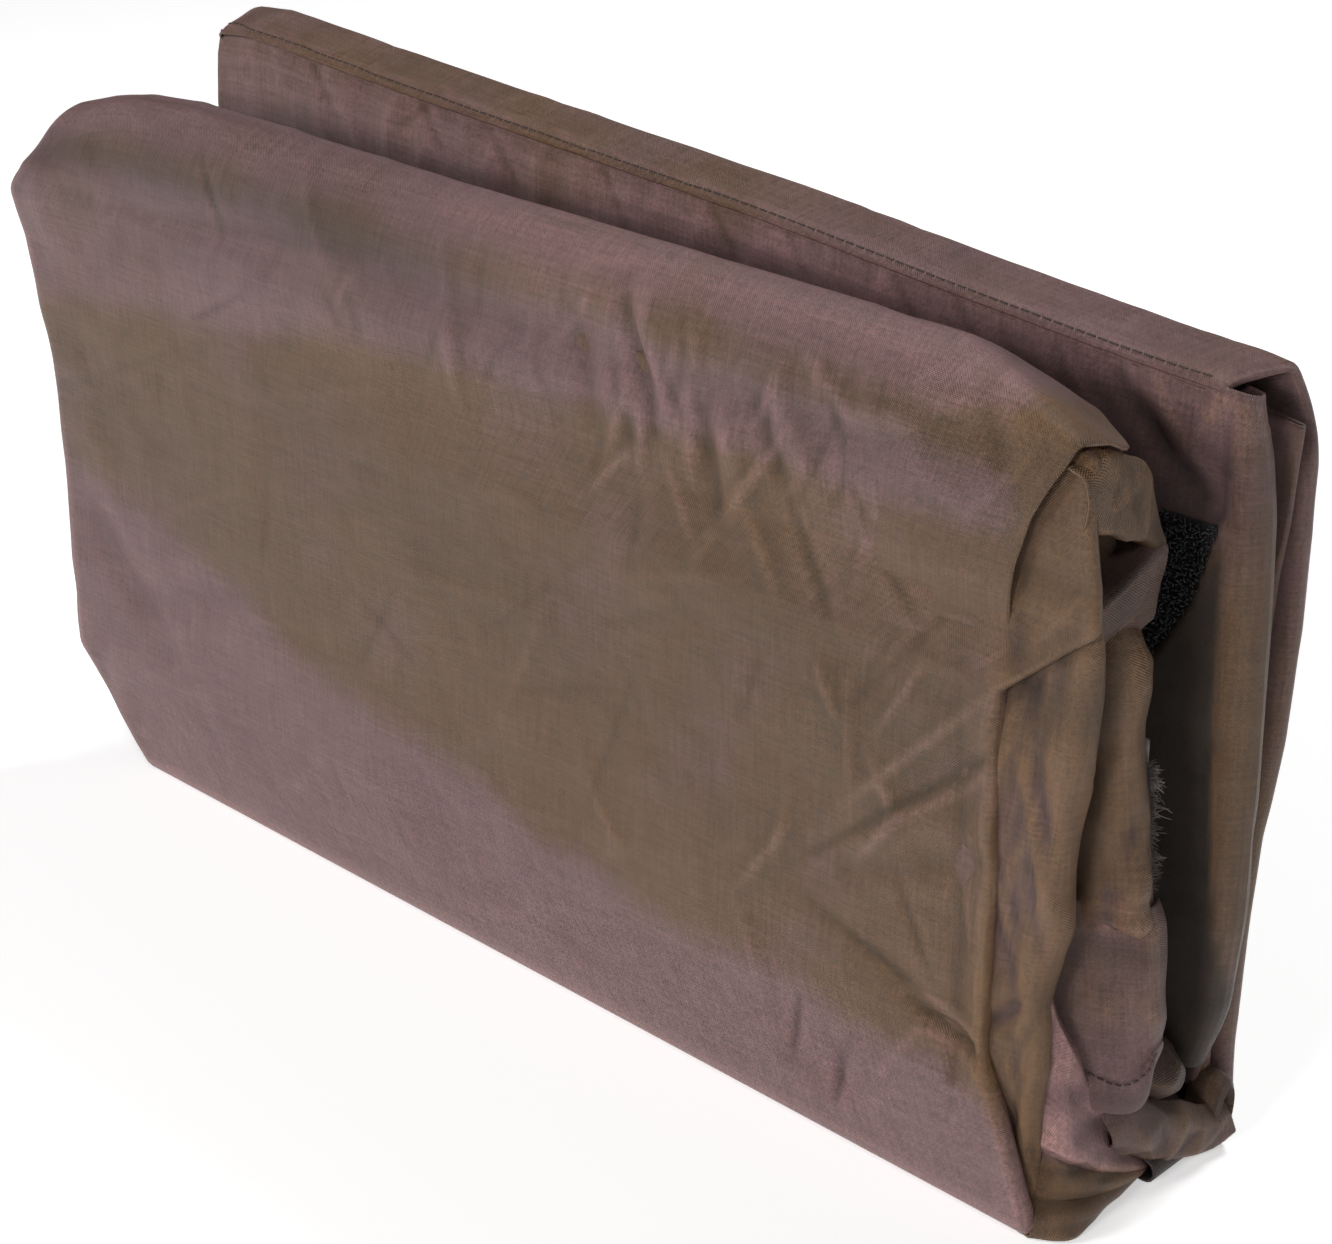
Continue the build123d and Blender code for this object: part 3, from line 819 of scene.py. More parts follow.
def front_second_roll():
    """The second fold edge of the front half, behind the cover."""
    path = upright([(0, -40.5), (40, -41.6), (140, -41.3), (240, -40.6)], 3, 238)
    z = path[:, 1]
    right = varying(z, [(0, 227), (11, 227), (42, 225), (74, 223), (107, 226.5), (146, 230),
                        (175, 231.5), (196, 231.5), (206, 228), (240, 224)], 4)
    roll = varying(z, [(0, 4.6), (60, 5.0), (180, 5.4), (240, 4.0)])
    left = varying(z, [(0, -192), (10, -192), (50, -226), (240, -236)])
    grid, depth = wrapped_grid(path, 1, left, right, np.full(len(z), 4.2), roll, (30, 120))
    x, z = grid[:, :, 0], grid[:, :, 2]
    ruffle = crumple(grid, 20, 5, (1, 1, 0.35)) * 0.9 + crumple(grid, 8, 6, (1, 1, 0.5)) * 0.3
    end = smooth_step(x, 185, 205)
    folds = scattered_folds(x, z, 52, 36, (219, 110, 11, 95), 44, 1.5, 2.0, 0.35)
    folds += pressed(x, z, [(214, 168, 224, 130, 3.0, -2.4), (216, 40, 226, 62, 2.4, 1.5),
                            (222, 186, 228, 110, 2.5, 1.3), (218, 120, 220, 20, 2.4, 1.2)])
    crisp = 1.6 * crumple(grid, 15, 61, (1, 1, 0.28), 0.8) * end
    grid = push(grid, (folds - 0.8 * ruffle) * (0.15 + 0.85 * end) + crisp)
    hollow = 3.4 * soft_spot(x, z, (214, 178), (7, 9)) + crease(x, z, (206, 66), (224, 84), 3.2, -1.8)
    grid[:, :, 1] += hollow * (depth < 6)
    return grid


def front_core_roll():
    """The hidden middle leaf of the front half; only its fold edge shows."""
    path = upright([(0, -27.5), (60, -28.4), (240, -29.2)], 18, 238, 2.6)
    z = path[:, 1]
    right = varying(z, [(0, 212), (60, 212), (130, 214), (240, 213)])
    left = varying(z, [(0, -192), (18, -194), (60, -220), (240, -231)])
    grid, _ = wrapped_grid(path, 1, left, right, None, np.full(len(z), 3.6), (0, 415))
    return push(grid, -0.6 * crumple(grid, 24, 7, (1, 1, 0.4)))


def flap_gap_y(z):
    """Y of the front flap's gap face at height z, from its lean."""
    return FLAP_TOP_Y + (PIVOT_Z - z) * FRONT_SLOPE


def front_flap_sheet():
    """The front flap: gap face, fold edge at the right end, and its other face."""
    low, high = 29.0, 247.0
    path = upright([(low, flap_gap_y(low)), (PIVOT_Z, FLAP_TOP_Y), (high, FLAP_TOP_Y - 2.5)], low, high)
    z = path[:, 1]
    right = varying(z, [(29, 216), (95, 216), (98, 236), (101, 240.5), (110, 240), (142, 237), (166, 234),
                        (184, 233), (193, 230), (200, 225), (212, 221), (247, 214)], 1)
    roll = varying(z, [(29, 4.0), (90, 6.0), (99, 7.5), (200, 8.0), (236, 7.0), (247, 5.0)])
    left = varying(z, [(20, -198), (48, -200), (60, -226), (240, -230)])
    grid, depth = wrapped_grid(path, -1, left, right, None, roll, (0, 13))
    x, y, z = axes(grid)
    near = smooth_step(x, 195, 222)
    ruffle = crumple(grid, 26, 8, (1, 1, 0.45)) * 0.9 + crumple(grid, 9, 9, (1, 1, 0.6)) * 0.35 * near
    folds = scattered_folds(y, z, 53, 40, (-17, 150, 10, 50), 36, 1.3, 2.0, 0.4)
    folds += pressed(y, z, [(-27, 102, -9, 103, 1.6, 1.6), (-27, 112, -9, 108, 2.0, -1.4),
                            (-20, 205, -17, 118, 2.6, 1.5), (-25, 110, -22, 190, 2.2, -1.6),
                            (-10, 126, -24, 104, 2.0, 1.8), (-11, 150, -22, 122, 2.0, -1.4),
                            (-9, 196, -24, 168, 2.2, 1.8), (-18, 190, -22, 132, 1.8, 1.4)])
    gap_folds = scattered_folds(x, z, 54, 24, (0, 140, 220, 100), 70, 5.0, 0.9)
    side = smooth_step(depth, 1, 5)
    crisp = 1.7 * crumple(grid, 16, 62, (1, 1, 0.35), 0.8) * near * side
    return push(grid, 0.7 * ruffle - crisp - folds * side * near - gap_folds * (1 - side))


def flap_foot():
    """The front flap's lower corner: a smooth panel that slants out, with the hem across its foot."""
    grid = net_grid([
        [(213, -28, 107), (219.5, -24.5, 107), (226, -20.5, 107),
         (233, -16.5, 107), (239, -13, 107), (238, -7, 107)],
        [(215, -28, 99.5), (222, -24.5, 99), (229, -20.5, 98.5),
         (235.5, -16.5, 98.5), (241.5, -13, 99), (241, -7, 100)],
        [(216, -28, 88), (223, -24.4, 88), (230.5, -20.5, 88),
         (237, -16.5, 88), (243, -12.8, 89), (242.5, -7, 90)],
        [(217, -27.5, 75), (224.5, -24, 74.5), (232, -20, 74),
         (238, -16, 74.5), (243.8, -12.2, 77), (243, -7, 78)],
        [(217.5, -27, 62), (225, -23.4, 60), (233, -19, 58),
         (239, -14.8, 58.5), (244, -11.4, 66), (243.4, -6.5, 68)],
        [(218, -26.5, 55), (226.5, -22.8, 52), (234, -18, 49.5),
         (240, -13.4, 50.5), (243.4, -10.6, 60), (243, -6.5, 62)],
        [(218, -26.5, 52), (227, -22.6, 49), (235, -17.6, 46),
         (241, -12.8, 47), (244, -10.4, 58), (243.6, -6.5, 60)],
        [(218, -26, 46), (228, -21.8, 42), (236, -16.6, 39),
         (241.4, -11.8, 41.5), (243.6, -9.8, 54), (243, -6, 57)],
        [(217, -25, 43), (226.5, -20.8, 38.5), (234, -15.4, 35),
         (239.5, -10.8, 38), (242, -8.8, 51), (241.5, -5.5, 54)],
        [(216, -22, 44), (224, -18, 40), (231, -12.5, 37),
         (235, -8.5, 41), (238, -6.4, 52), (237, -4, 55)],
    ], 7)
    y, z = grid[:, :, 1], grid[:, :, 2]
    dents = pressed(y, z, [(-27, 99.5, -13, 99.5, 1.4, 1.3), (-27, 90, -15, 62, 2.2, 0.9),
                           (-25, 94, -20, 70, 1.8, -0.7), (-17, 84, -14, 58, 1.6, 0.6)])
    hem = pressed(y, z, [(-25, 53, -16, 47, 0.8, -0.9), (-16, 47, -9, 60, 0.8, -0.9)])
    rumple = 0.2 * crumple(grid, 11, 26) - 0.7 * crumple(grid, 17, 63, (1, 1, 0.6), 0.8)
    return push(grid, rumple - dents - hem)


# ---- the back half ------------------------------------------------------------------------------
# how much higher or lower than its path the back half's top is, as (x, rise) pairs
BACK_RISE = [(-226, 8), (-205, 13), (-185, 15), (-100, 10), (0, 5), (60, 2), (139, -4), (200, -8),
             (228, -9), (246, -11)]


def back_cover():
    """The outer sheet of the back half: from under the spine, up the back, over to the seam."""
    crown = 269.5
    path = smooth_path([
        (4, 0.7), (20, 0.7), (HINGE_Y - 2, 0.7), (SKIN - 2.5, 3.2), (SKIN, 9), (SKIN, 30),
        (SKIN - 0.8, 90), (SKIN - 1.2, 150), (SKIN - 0.6, 205), (SKIN - 0.6, 238),
        (SKIN - 2.5, 254), (SKIN - 7, crown - 5), (37, crown - 0.7), (32, crown), (25, crown - 1.2),
        (18.4, crown - 3.2), (14.6, crown - 5.6),
    ])
    up = sheet_height(path)
    left = varying(up, [(0, -206), (12, -208), (60, -216), (220, -222), (250, -224), (262, -220),
                        (270, -207), (280, -202.5), (300, -202)], 2)
    right = varying(up, [(0, 238), (34, 237), (72, 238), (107, 240), (120, 242), (141, 244.5),
                         (177, 246), (236, 245.5), (250, 243), (260, 241), (268, 240), (276, 237),
                         (284, 233), (290, 231)], 2)
    left_roll = varying(up, [(0, 4), (250, 6), (262, 7), (290, 3)])
    right_roll = varying(up, [(0, 3.6), (236, 3.8), (246, 1.6), (290, 0.9)], 3)
    grid, depth = wrapped_grid(path, -1, left, right, left_roll, right_roll, (18, 30))
    grid = push(grid, back_relief(grid) * on_face(grid, depth))
    grid[:, :, 1] = np.minimum(grid[:, :, 1], SKIN)
    return raise_crown(grid, 200, 256, BACK_RISE)


def back_relief(grid):
    """How far the back cover's surface moves: dents and crumples inwards, ridge folds both ways."""
    x, y, z = axes(grid)
    near_end = np.clip((np.abs(x - 10) - 140) / 80, 0, 1)
    ruffle = crumple(grid, 44, 11, (1, 1, 0.6)) * 1.2 + crumple(grid, 16, 12) * (0.25 + 0.5 * near_end)
    ruffle *= 1 - 0.75 * smooth_step(z, 244, 262)
    dents = pressed(
        x, z,
        [(238, 160, 150, 210, 7, -1.8), (236, 120, 190, 60, 6, -1.6), (-40, 240, -70, 180, 8, -1.1)],
        [(-205, 200, -90, 232, 12, 1.6), (-210, 90, -120, 40, 10, 1.4), (60, 250, 80, 200, 7, 1.2)],
    )
    dents += scattered_folds(x, z, 41, 22, (10, 130, 220, 110), 70, 6.0, 0.8)
    ridge = scattered_folds(x, y, 42, 26, (10, 26, 225, 12), 40, 3.0, 0.5, 1.5) * (z > 250)
    relief = np.where(y > 40, -np.abs(dents), ridge)
    calm = np.where(y < 20, 0.35, 1.0)
    return np.abs(ruffle) * calm - relief


def loop_slant(z):
    """The x where the fold of cloth over the loop tape crosses height z."""
    return np.interp(z, [150, 168, 192, 214, 226], [208, 216, 229, 235, 237])


def back_flap_sheet():
    """The back flap: gap face, the rolled edge at its right end, and its other face."""
    low, straight_low, straight_high, high = 36.0, 90, 250, 264.6
    foot = BACK_GAP_Y - (straight_high - straight_low) * BACK_SLOPE
    path = upright([(low, foot + 6), (48, foot + 4), (straight_low, foot), (straight_high, BACK_GAP_Y),
                    (256, BACK_GAP_Y + 0.5), (high, BACK_GAP_Y + 2.5)], low, high)
    z = path[:, 1]
    right = varying(z, [(36, 239), (46, 243), (60, 247), (91, 250), (133, 249.5), (173, 248), (221, 246.5),
                        (244, 244), (256, 242), (265, 238.5)], 3)
    roll = varying(z, [(36, 3.5), (45, 5.0), (90, 6.6), (200, 7.0), (244, 6.6), (265, 4.7)])
    left = varying(z, [(20, -200), (60, -202), (200, -204), (265, -203)])
    grid, depth = wrapped_grid(path, 1, left, right, None, roll, (0, 435))
    x, y, z = axes(grid)
    gap_face = np.clip(1 - depth / 2.5, 0, 1)
    near = smooth_step(x, 150, 210)
    ruffle = crumple(grid, 30, 13, (1, 1, 0.55)) * 1.1 + crumple(grid, 11, 14) * (0.2 + 0.3 * near)
    dents = pressed(
        x, z,
        [(206, 264, 232, 236, 2.6, 2.0), (220, 268, 239, 258, 3.0, 1.6), (176, 262, 196, 240, 3.0, 1.3)]
        + [(start, 272, start + 26, 244, 3.5, -1.2) for start in (-160, -104, -70, -18, 30, 62, 104, 128)],
        [(192, 262, 228, 228, 4.2, 2.6), (150, 260, 186, 226, 5.0, 1.8)],
    )
    dents += scattered_folds(x, z, 61, 26, (40, 200, 180, 60), 40, 3.4, 0.8)
    dents += 0.8 * crumple(grid, 24, 68, (1, 1, 0.5), 0.8) * smooth_step(z, 190, 225)
    strip = 1.5 * smooth_step(x - strip_edge(z), -0.5, 1.5)
    over_tape = smooth_step(x - loop_slant(z), -0.6, 0.6) * smooth_step(z, 140, 160)
    strip = np.maximum(strip, 2.4 * over_tape * (1 - smooth_step(z, 218, 226)))
    seams = fold_line(y, z, (20, 60), (22, 230), 2.4, 1.0)
    seams += scattered_folds(y, z, 62, 14, (22, 140, 6, 90), 50, 2, 0.7, 0.3)
    on_gap_face = (dents - 0.8 * ruffle + strip) * gap_face
    grid = push(grid, on_gap_face + seams * (1 - gap_face) * (x > 225))
    return raise_crown(grid, 200, 256, BACK_RISE)


def back_second_roll():
    """The second leaf of the back half; its fold edge shows between the flap and the back."""
    path = upright([(0, 38.2), (120, 38.6), (250, 38.4)], 18, 250, 2.6)
    z = path[:, 1]
    right = varying(z, [(0, 233), (60, 234), (130, 238), (200, 241), (250, 240)], 3)
    left = varying(z, [(0, -206), (250, -214)])
    roll = np.full(len(z), 3.0)
    grid, _ = wrapped_grid(path, -1, left, right, roll, roll, (40, 60))
    return raise_crown(push(grid, 0.7 * crumple(grid, 20, 15, (1, 1, 0.4))), 180, 250, BACK_RISE)


def back_inner_ply():
    """A single thin fold that peeps out beside the back flap's rolled edge."""
    path = upright([(18, 31), (120, 32.5), (200, 33.5), (254, 33)], 20, 254)
    z = path[:, 1]
    right = varying(z, [(18, 232), (80, 238), (140, 240), (198, 242), (222, 244.5), (244, 245.5),
                        (252, 246), (256, 246)], 3)
    left = varying(z, [(0, -204), (250, -210)])
    grid, _ = wrapped_grid(path, 1, left, right, None, np.full(len(z), 0.9), (0, 30))
    wave = 0.8 * crumple(grid, 16, 16, (1, 1, 0.3))
    return raise_crown(push(grid, wave), 180, 246, BACK_RISE)


# ---- tapes and stitches -----------------------------------------------------------------------
def tube_mesh(name, paths, radius, slot, sides):
    """One mesh of many thin closed tubes, each along its own list of points in millimetres."""
    vertices, faces = [], []
    turn = np.linspace(0, 2 * math.pi, sides, endpoint=False)
    for path in paths:
        path = np.array(path, float)
        run = np.gradient(path, axis=0)
        run /= np.linalg.norm(run, axis=1)[:, None] + 1e-9
        aside = np.cross(run, (0.31, 0.52, 0.79))
        aside /= np.linalg.norm(aside, axis=1)[:, None] + 1e-9
        over = np.cross(run, aside)
        taper = np.ones(len(path))
        taper[[0, -1]] = 0.45
        ring = aside[:, None] * np.cos(turn)[:, None] + over[:, None] * np.sin(turn)[:, None]
        points = path[:, None] + ring * (radius * taper)[:, None, None]
        first = len(vertices)
        vertices.extend((points.reshape(-1, 3) * MM).tolist())
        for i in range(len(path) - 1):
            for j in range(sides):
                k = (j + 1) % sides
                a, b = first + i * sides, first + (i + 1) * sides
                faces.append((a + j, a + k, b + k, b + j))
        last = first + (len(path) - 1) * sides
        faces.append(tuple(first + j for j in reversed(range(sides))))
        faces.append(tuple(last + j for j in range(sides)))
    mesh = bpy.data.meshes.new(name)
    mesh.from_pydata(vertices, [], faces)
    mesh.polygons.foreach_set("use_smooth", [True] * len(mesh.polygons))
    obj = add_object(name, mesh)
    obj.data.materials.append(MATERIALS[slot])
    return obj


def fibres(name, paths, radius, slot, sides, body, node):
    """Threads or fibres that ride on a body and stand for a CAD node."""
    obj = tube_mesh(name, paths, radius, slot, sides)
    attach(obj, body)
    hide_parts(node)


def stitch_row(line, sheet, towards, length=2.6, gap=1.5, spacing=0.65):
    """Stitches along a line of points, dropped onto a sheet from outside along a direction."""
    tree = BVHTree.FromObject(sheet, bpy.context.evaluated_depsgraph_get())
    towards = Vector(towards).normalized()
    into = np.array(towards) * 0.6
    drop = 30 * MM
    spots = smooth_path(line, spacing)
    per, pause = int(length / spacing), int((length + gap) / spacing)
    out = []
    for first in range(0, len(spots) - per, pause):
        path = []
        for spot in spots[first : first + per + 1]:
            hit = tree.ray_cast(Vector(spot) * MM - towards * drop, towards, 2 * drop)[0]
            if hit is not None:
                path.append(np.array(hit - towards * 0.25 * MM) / MM)
        if len(path) > per:
            out.append([path[0] + into, *path, path[-1] + into])
    return out


def tape_base(slot, body, low, high, y_at, right_at):
    """The woven ground of a tape patch, lying just over the cloth, out to x = right_at(z)."""
    z = np.linspace(low[2], high[2], 30)[:, None]
    share = np.linspace(0, 1, 30)[None, :]
    x = low[0] + share * (np.minimum(right_at(z), high[0]) - low[0])
    z = z + 0 * x
    grid = np.stack([x, y_at(z), z], 2)
    even = np.ones(x.shape)
    base = cloth_sheet(slot + "_base", grid, 0.5 * even, even, slot=slot, thick=0.7)
    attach(base, body)


def pile(spots, rise, width, seed, outward):
    """Small standing loops of thread at the given places."""
    chance = np.random.RandomState(seed)
    out = []
    for spot in spots:
        turn = chance.uniform(0, math.pi)
        aside = np.array([math.cos(turn), 0, math.sin(turn)]) * width * chance.uniform(0.5, 1.2)
        tip = np.array([chance.uniform(-0.7, 0.7), outward * rise * chance.uniform(0.7, 1.25),
                        chance.uniform(-0.7, 0.7)])
        arch = np.linspace(0, math.pi, 7)[:, None]
        out.append(np.array(spot) + aside * np.cos(arch) + tip * np.sin(arch))
    return out


def curls(spots, reach, seed, away):
    """Loose curly fibres at the given places."""
    chance = np.random.RandomState(seed)
    out = []
    for spot in spots:
        heading = np.array(away) + chance.uniform(-0.8, 0.8, 3)
        side = np.cross(heading, chance.uniform(-1, 1, 3))
        side /= np.linalg.norm(side) + 1e-9
        along = np.linspace(0, 1, 9)[:, None]
        bend = chance.uniform(1.0, 2.6)
        wave = side * np.sin(along * math.pi * bend) * chance.uniform(0.3, 1.0)
        out.append(np.array(spot) + heading * along * reach * chance.uniform(0.4, 1.0) + wave)
    return out


def make_loop_tape():
    """The black loop tape on the back flap, its lower right corner under a fold of cloth."""
    low, high = box_mm("loop_patch")
    ground, level = 13.2, 200          # the tape's ground is at this y, at this height

    def lean(z):
        return ground - (level - z) * BACK_SLOPE

    tape_base("loop_tape", "back_flap", low, high, lean, lambda z: loop_slant(z) + 2.0)
    chance = np.random.RandomState(71)
    spots = []
    for x in np.arange(low[0] + 0.8, high[0], 1.25):
        for z in np.arange(low[2] + 0.8, high[2], 1.25):
            x_at, z_at = x + chance.uniform(-0.5, 0.5), z + chance.uniform(-0.5, 0.5)
            if x_at < loop_slant(z_at):
                spots.append((x_at, lean(z_at) - 0.3, z_at))
    loops = pile(spots, 1.5, 0.9, 72, -1)
    fibres("loop_tape_pile", loops, 0.21, "loop_tape", 5, "back_flap", "loop_patch")
    rows = box_stitches(low, high, lambda z: lean(z) - 0.5, lambda x, z: x < loop_slant(z) - 1)
    fibres("loop_patch_thread", rows, 0.3, "thread", 6, "back_flap", "loop_patch_stitches")


def make_hook_tape():
    """The grey hook tape on the front flap, frayed along its free right edge."""
    low, high = box_mm("hook_patch")
    high[0] -= 2.5

    def lean(z):
        return flap_gap_y(z) + 1.3

    tape_base("hook_tape", "front_flap", low, high, lean, lambda z: high[0] + 0 * z)
    spots = [(x, lean(z) + 0.3, z) for x in np.arange(low[0] + 1, high[0], 1.7)
             for z in np.arange(low[2] + 1, high[2], 1.7)]
    hooks = pile(spots, 1.1, 0.5, 74, 1)
    chance = np.random.RandomState(73)
    edge = [(high[0] - chance.uniform(0, 2), lean(z) - chance.uniform(0, 1.5), z)
            for z in chance.uniform(low[2] + 1, high[2] - 8, 900)]
    hooks += curls(edge, 4.6, 75, (0.9, 0.1, 0))
    fibres("hook_tape_fibres", hooks, 0.13, "hook_tape", 4, "front_flap", "hook_patch")
    rows = box_stitches(low, high, lambda z: lean(z) + 0.5, lambda x, z: True)
    fibres("hook_patch_thread", rows, 0.3, "thread", 6, "front_flap", "hook_patch_stitches")


def box_stitches(low, high, y_at, keep, inset=3.0, length=2.6, pitch=4.1):
    """Straight stitches just inside the four edges of a tape patch, wherever keep(x, z) is true."""
    left, right, foot, top = low[0] + inset, high[0] - inset, low[2] + inset, high[2] - inset
    out = []
    for x0, z0, x1, z1 in ((left, foot, right, foot), (left, top, right, top),
                           (left, foot, left, top), (right, foot, right, top)):
        start, run = np.array([x0, z0]), np.array([x1 - x0, z1 - z0])
        reach = np.linalg.norm(run)
        for along in np.arange(0.5, reach - length, pitch):
            spots = [start + run / reach * (along + length * share) for share in (0, 0.25, 0.5, 0.75, 1)]
            if all(keep(x, z) for x, z in spots):
                out.append([(x, y_at(z), z) for x, z in spots])
    return out


def make_stitches(back, front_flap, foot, back_flap):
    """Every row of stitches, laid on the cloth that it holds."""
    hem_z = box_mm("front_hem_stitches")[0][2]
    hem = stitch_row([(-184, -5, hem_z), (0, -5, hem_z), (208, -5, hem_z)], front_flap, (0, -1, 0))
    hem += stitch_row([(224, -26, 54.5), (229, -21.5, 50), (235.5, -16, 47), (240, -11.5, 51),
                       (242, -9, 59)], foot, (-0.9, 0.45, 0), 1.9, 1.1)
    lap = [(x, 14, 266.0 + rise) for x, rise in BACK_RISE if -206 < x < 234]
    back_z = box_mm("back_hem_stitches")[1][2]
    back_hem = [(-190, 10, back_z), (0, 10, back_z), (226, 10, back_z - 8)]
    for name, body, paths in (
        ("back_seam_stitches", "back_half", stitch_row(lap, back, (0, 1, 0))),
        ("front_hem_stitches", "front_flap", hem),
        ("back_hem_stitches", "back_flap", stitch_row(back_hem, back_flap, (0, 1, 0))),
    ):
        fibres(name + "_thread", paths, 0.32, "thread", 6, body, name)


# ---- the spine and the gathered end ------------------------------------------------------------
def spine_valley():
    """The inner cloth of the bottom fold, seen down in the gap."""
    path = smooth_path([(-30, 6), (-20, 11), (-6, 13.5), (8, 13.5), (20, 11.5), (30, 7)])
    count = len(path)
    grid, _ = wrapped_grid(path, -1, np.full(count, -196.0), np.full(count, 219.0))
    return push(grid, 0.9 * crumple(grid, 18, 17, (0.6, 1, 1)))


def on_floor(grid):
    """Keep a sheet from sinking into the floor."""
    grid[:, :, 2] = np.maximum(grid[:, :, 2], FLOOR_GAP)
    return grid


def gusset_front():
    """The gathered cloth from the front half's fold edges in to the pinch, and down to the floor."""
    grid = net_grid([
        [(217, -31, 82), (222, -28, 68), (225, -22, 56), (226, -10, 38), (228, 2, 20), (231, 11, 5)],
        [(221, -35, 80), (227, -31, 65), (229, -26, 53), (230, -14, 35), (231, -2, 18), (232, 9, 4)],
        [(220, -35.5, 62), (226.5, -31.5, 52), (228.5, -26, 41),
         (229.5, -14, 27), (231, -2, 13.5), (232, 9, 3.6)],
        [(223, -37, 31), (230, -32, 27), (232, -26, 22.5), (233, -14, 15), (233.5, -2, 8), (232.5, 9, 3)],
        [(219, -37, 28), (225, -32, 24), (227, -26, 19.5),
         (229.5, -14, 12.5), (231.5, -2, 7), (232, 9, 2.8)],
        [(223, -38, 17), (230, -33, 15.5), (232.5, -26, 13),
         (234, -14, 9), (234, -2, 5.6), (232.5, 9, 2.4)],
        [(223, -40, 12.5), (229, -33.5, 11), (231, -26, 9),
         (232.5, -14, 6.6), (233, -2, 4.6), (232.5, 8.5, 2.1)],
        [(227, -43, 8), (233.5, -36, 7.5), (236, -28, 6),
         (235, -15, 4.5), (233.5, -3, 3.4), (232.5, 8, 1.8)],
        [(227.5, -44, 1.8), (236, -36, 1.4), (236, -26, 1.1), (234, -15, 1), (233, -3, 1), (232, 7.5, 1)],
        [(221, -42, 0.8), (229, -33, 0.7), (229, -24, 0.7), (228, -14, 0.7), (228, -3, 0.7), (228, 7, 0.7)],
    ], 7, crisp=True)
    y, z = grid[:, :, 1], grid[:, :, 2]
    pleats = [(8, 2 + height / 8, -38, height, 1.2, 2.2) for height in (8, 13, 19, 24)]
    folds = pressed(y, z, pleats + [(6, 6, -38, 66, 1.8, 0.9), (4, 10, -30, 60, 1.6, -0.7)])
    return on_floor(push(grid, -folds - 0.5 * crumple(grid, 12, 65, (1, 0.4, 1), 0.8)))


def gusset_back():
    """The gathered cloth from under the front flap's hem across to the back half's foot."""
    grid = net_grid([
        [(228, -16, 34), (231, -6, 34), (233, 5, 30), (235, 13, 26),
         (237, 21, 22), (238, 29, 18), (238, 37, 17)],
        [(233, -15, 28), (236.5, -5, 29), (238.5, 5, 25), (240, 13, 21),
         (241.5, 21, 17), (242.5, 29, 14), (243, 37, 12)],
        [(234, -14, 23), (237, -4, 20.5), (239, 5, 18), (240.5, 13, 14),
         (242, 21, 10.5), (243, 29, 8), (243.5, 38, 7)],
        [(231.5, -12, 20), (234.5, -3, 15.5), (236, 6, 11.5), (237.5, 13, 7),
         (239.5, 21, 4.5), (241.5, 29, 3.4), (243, 38, 3)],
        [(230, -10, 17), (232.5, -2, 12.5), (234, 7, 8.5), (235.5, 12.5, 3.5),
         (237.5, 21, 1.6), (240, 29, 1.2), (242, 38, 1.2)],
        [(225, -9, 16), (226, -1, 11), (228, 8, 6), (229, 13, 1.5),
         (231, 21, 0.8), (233, 29, 0.7), (235, 38, 0.7)],
    ], 7)
    y, z = grid[:, :, 1], grid[:, :, 2]
    folds = pressed(y, z, [(10, 6, -8, 27, 1.5, 2.2), (11, 5, 14, 24, 1.5, 1.8), (12, 4, 36, 13, 1.4, 1.8),
                           (11, 6, 2, 30, 1.2, -1.4), (12, 6, 26, 20, 1.2, -1.3)])
    return on_floor(push(grid, -1.1 * crumple(grid, 11, 64, (1, 0.5, 1), 0.8) - folds))


def end_knuckle():
    """The rounded fold that bulges out above the pinch."""
    centre, size = (231.0, 9.5, 37.5), (9.5, 8.0, 9.5)
    turn = np.linspace(0, math.pi, 30)[:, None]
    swing = np.linspace(-0.55 * math.pi, 0.55 * math.pi, 34)[None, :]
    grid = np.stack([
        centre[0] + size[0] * np.sin(turn) * np.cos(swing),
        centre[1] + size[1] * np.sin(turn) * np.sin(swing),
        centre[2] + size[2] * np.cos(turn) + 0 * swing,
    ], 2)
    folds = pressed(grid[:, :, 1], grid[:, :, 2], [(3, 30, 10, 44, 1.5, 1.4), (12, 30, 8, 42, 1.5, -1.0)])
    return push(grid, -1.2 * crumple(grid, 10, 67, (1, 1, 1), 0.7) - folds)


def foot_loop():
    """The small open loop of cloth at the foot of the back flap's rolled edge."""
    around = np.linspace(0, 2 * math.pi, 41)[None, :]
    radius = np.array([9.0, 8.4, 7.4, 6.2, 5.2, 4.4])[:, None]
    out = np.array([231.0, 238.0, 241.5, 242.5, 240.0, 230.0])[:, None]
    middle_y, middle_z = 34.5, 14.8
    grid = np.stack([
        out + 0 * around,
        middle_y + 0.60 * radius * np.cos(around) + 0.15 * radius * np.sin(around),
        middle_z + 1.35 * radius * np.sin(around),
    ], 2)
    return push(grid, 0.7 * crumple(grid, 8, 22))


# ---- what each sheet rides on, and the CAD nodes that it stands for -----------------------------
def outer_sheet(half, side, grid, tone, fade, last_node):
    """An outer sheet, running from under the spine round its half's bottom fold. side is -1 in front and 1
    at the back.
    """
    obj = cloth_sheet(half + "_cover", grid, tone, fade, -side)
    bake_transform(obj)
    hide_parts(half + "_outer_leaf", half + "_ridge_fold", half + "_bottom_fold", last_node)
    return obj


def riding_sheet(body, name, grid, tone, fade, outward, *nodes):
    """A sheet that rides on one body."""
    obj = cloth_sheet(name, grid, tone, fade, outward)
    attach(obj, body)
    if nodes:
        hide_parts(*nodes)
    return obj


def end_sheet(body, name, grid, outward, seed, bias, *nodes):
    """A riding sheet with the folded end's painted highlights and shade: bias is how mauve it is, between 0
    and 1.
    """
    return riding_sheet(body, name, grid, two_tone(grid, seed, bias), end_painted_shading(grid), outward, *nodes)


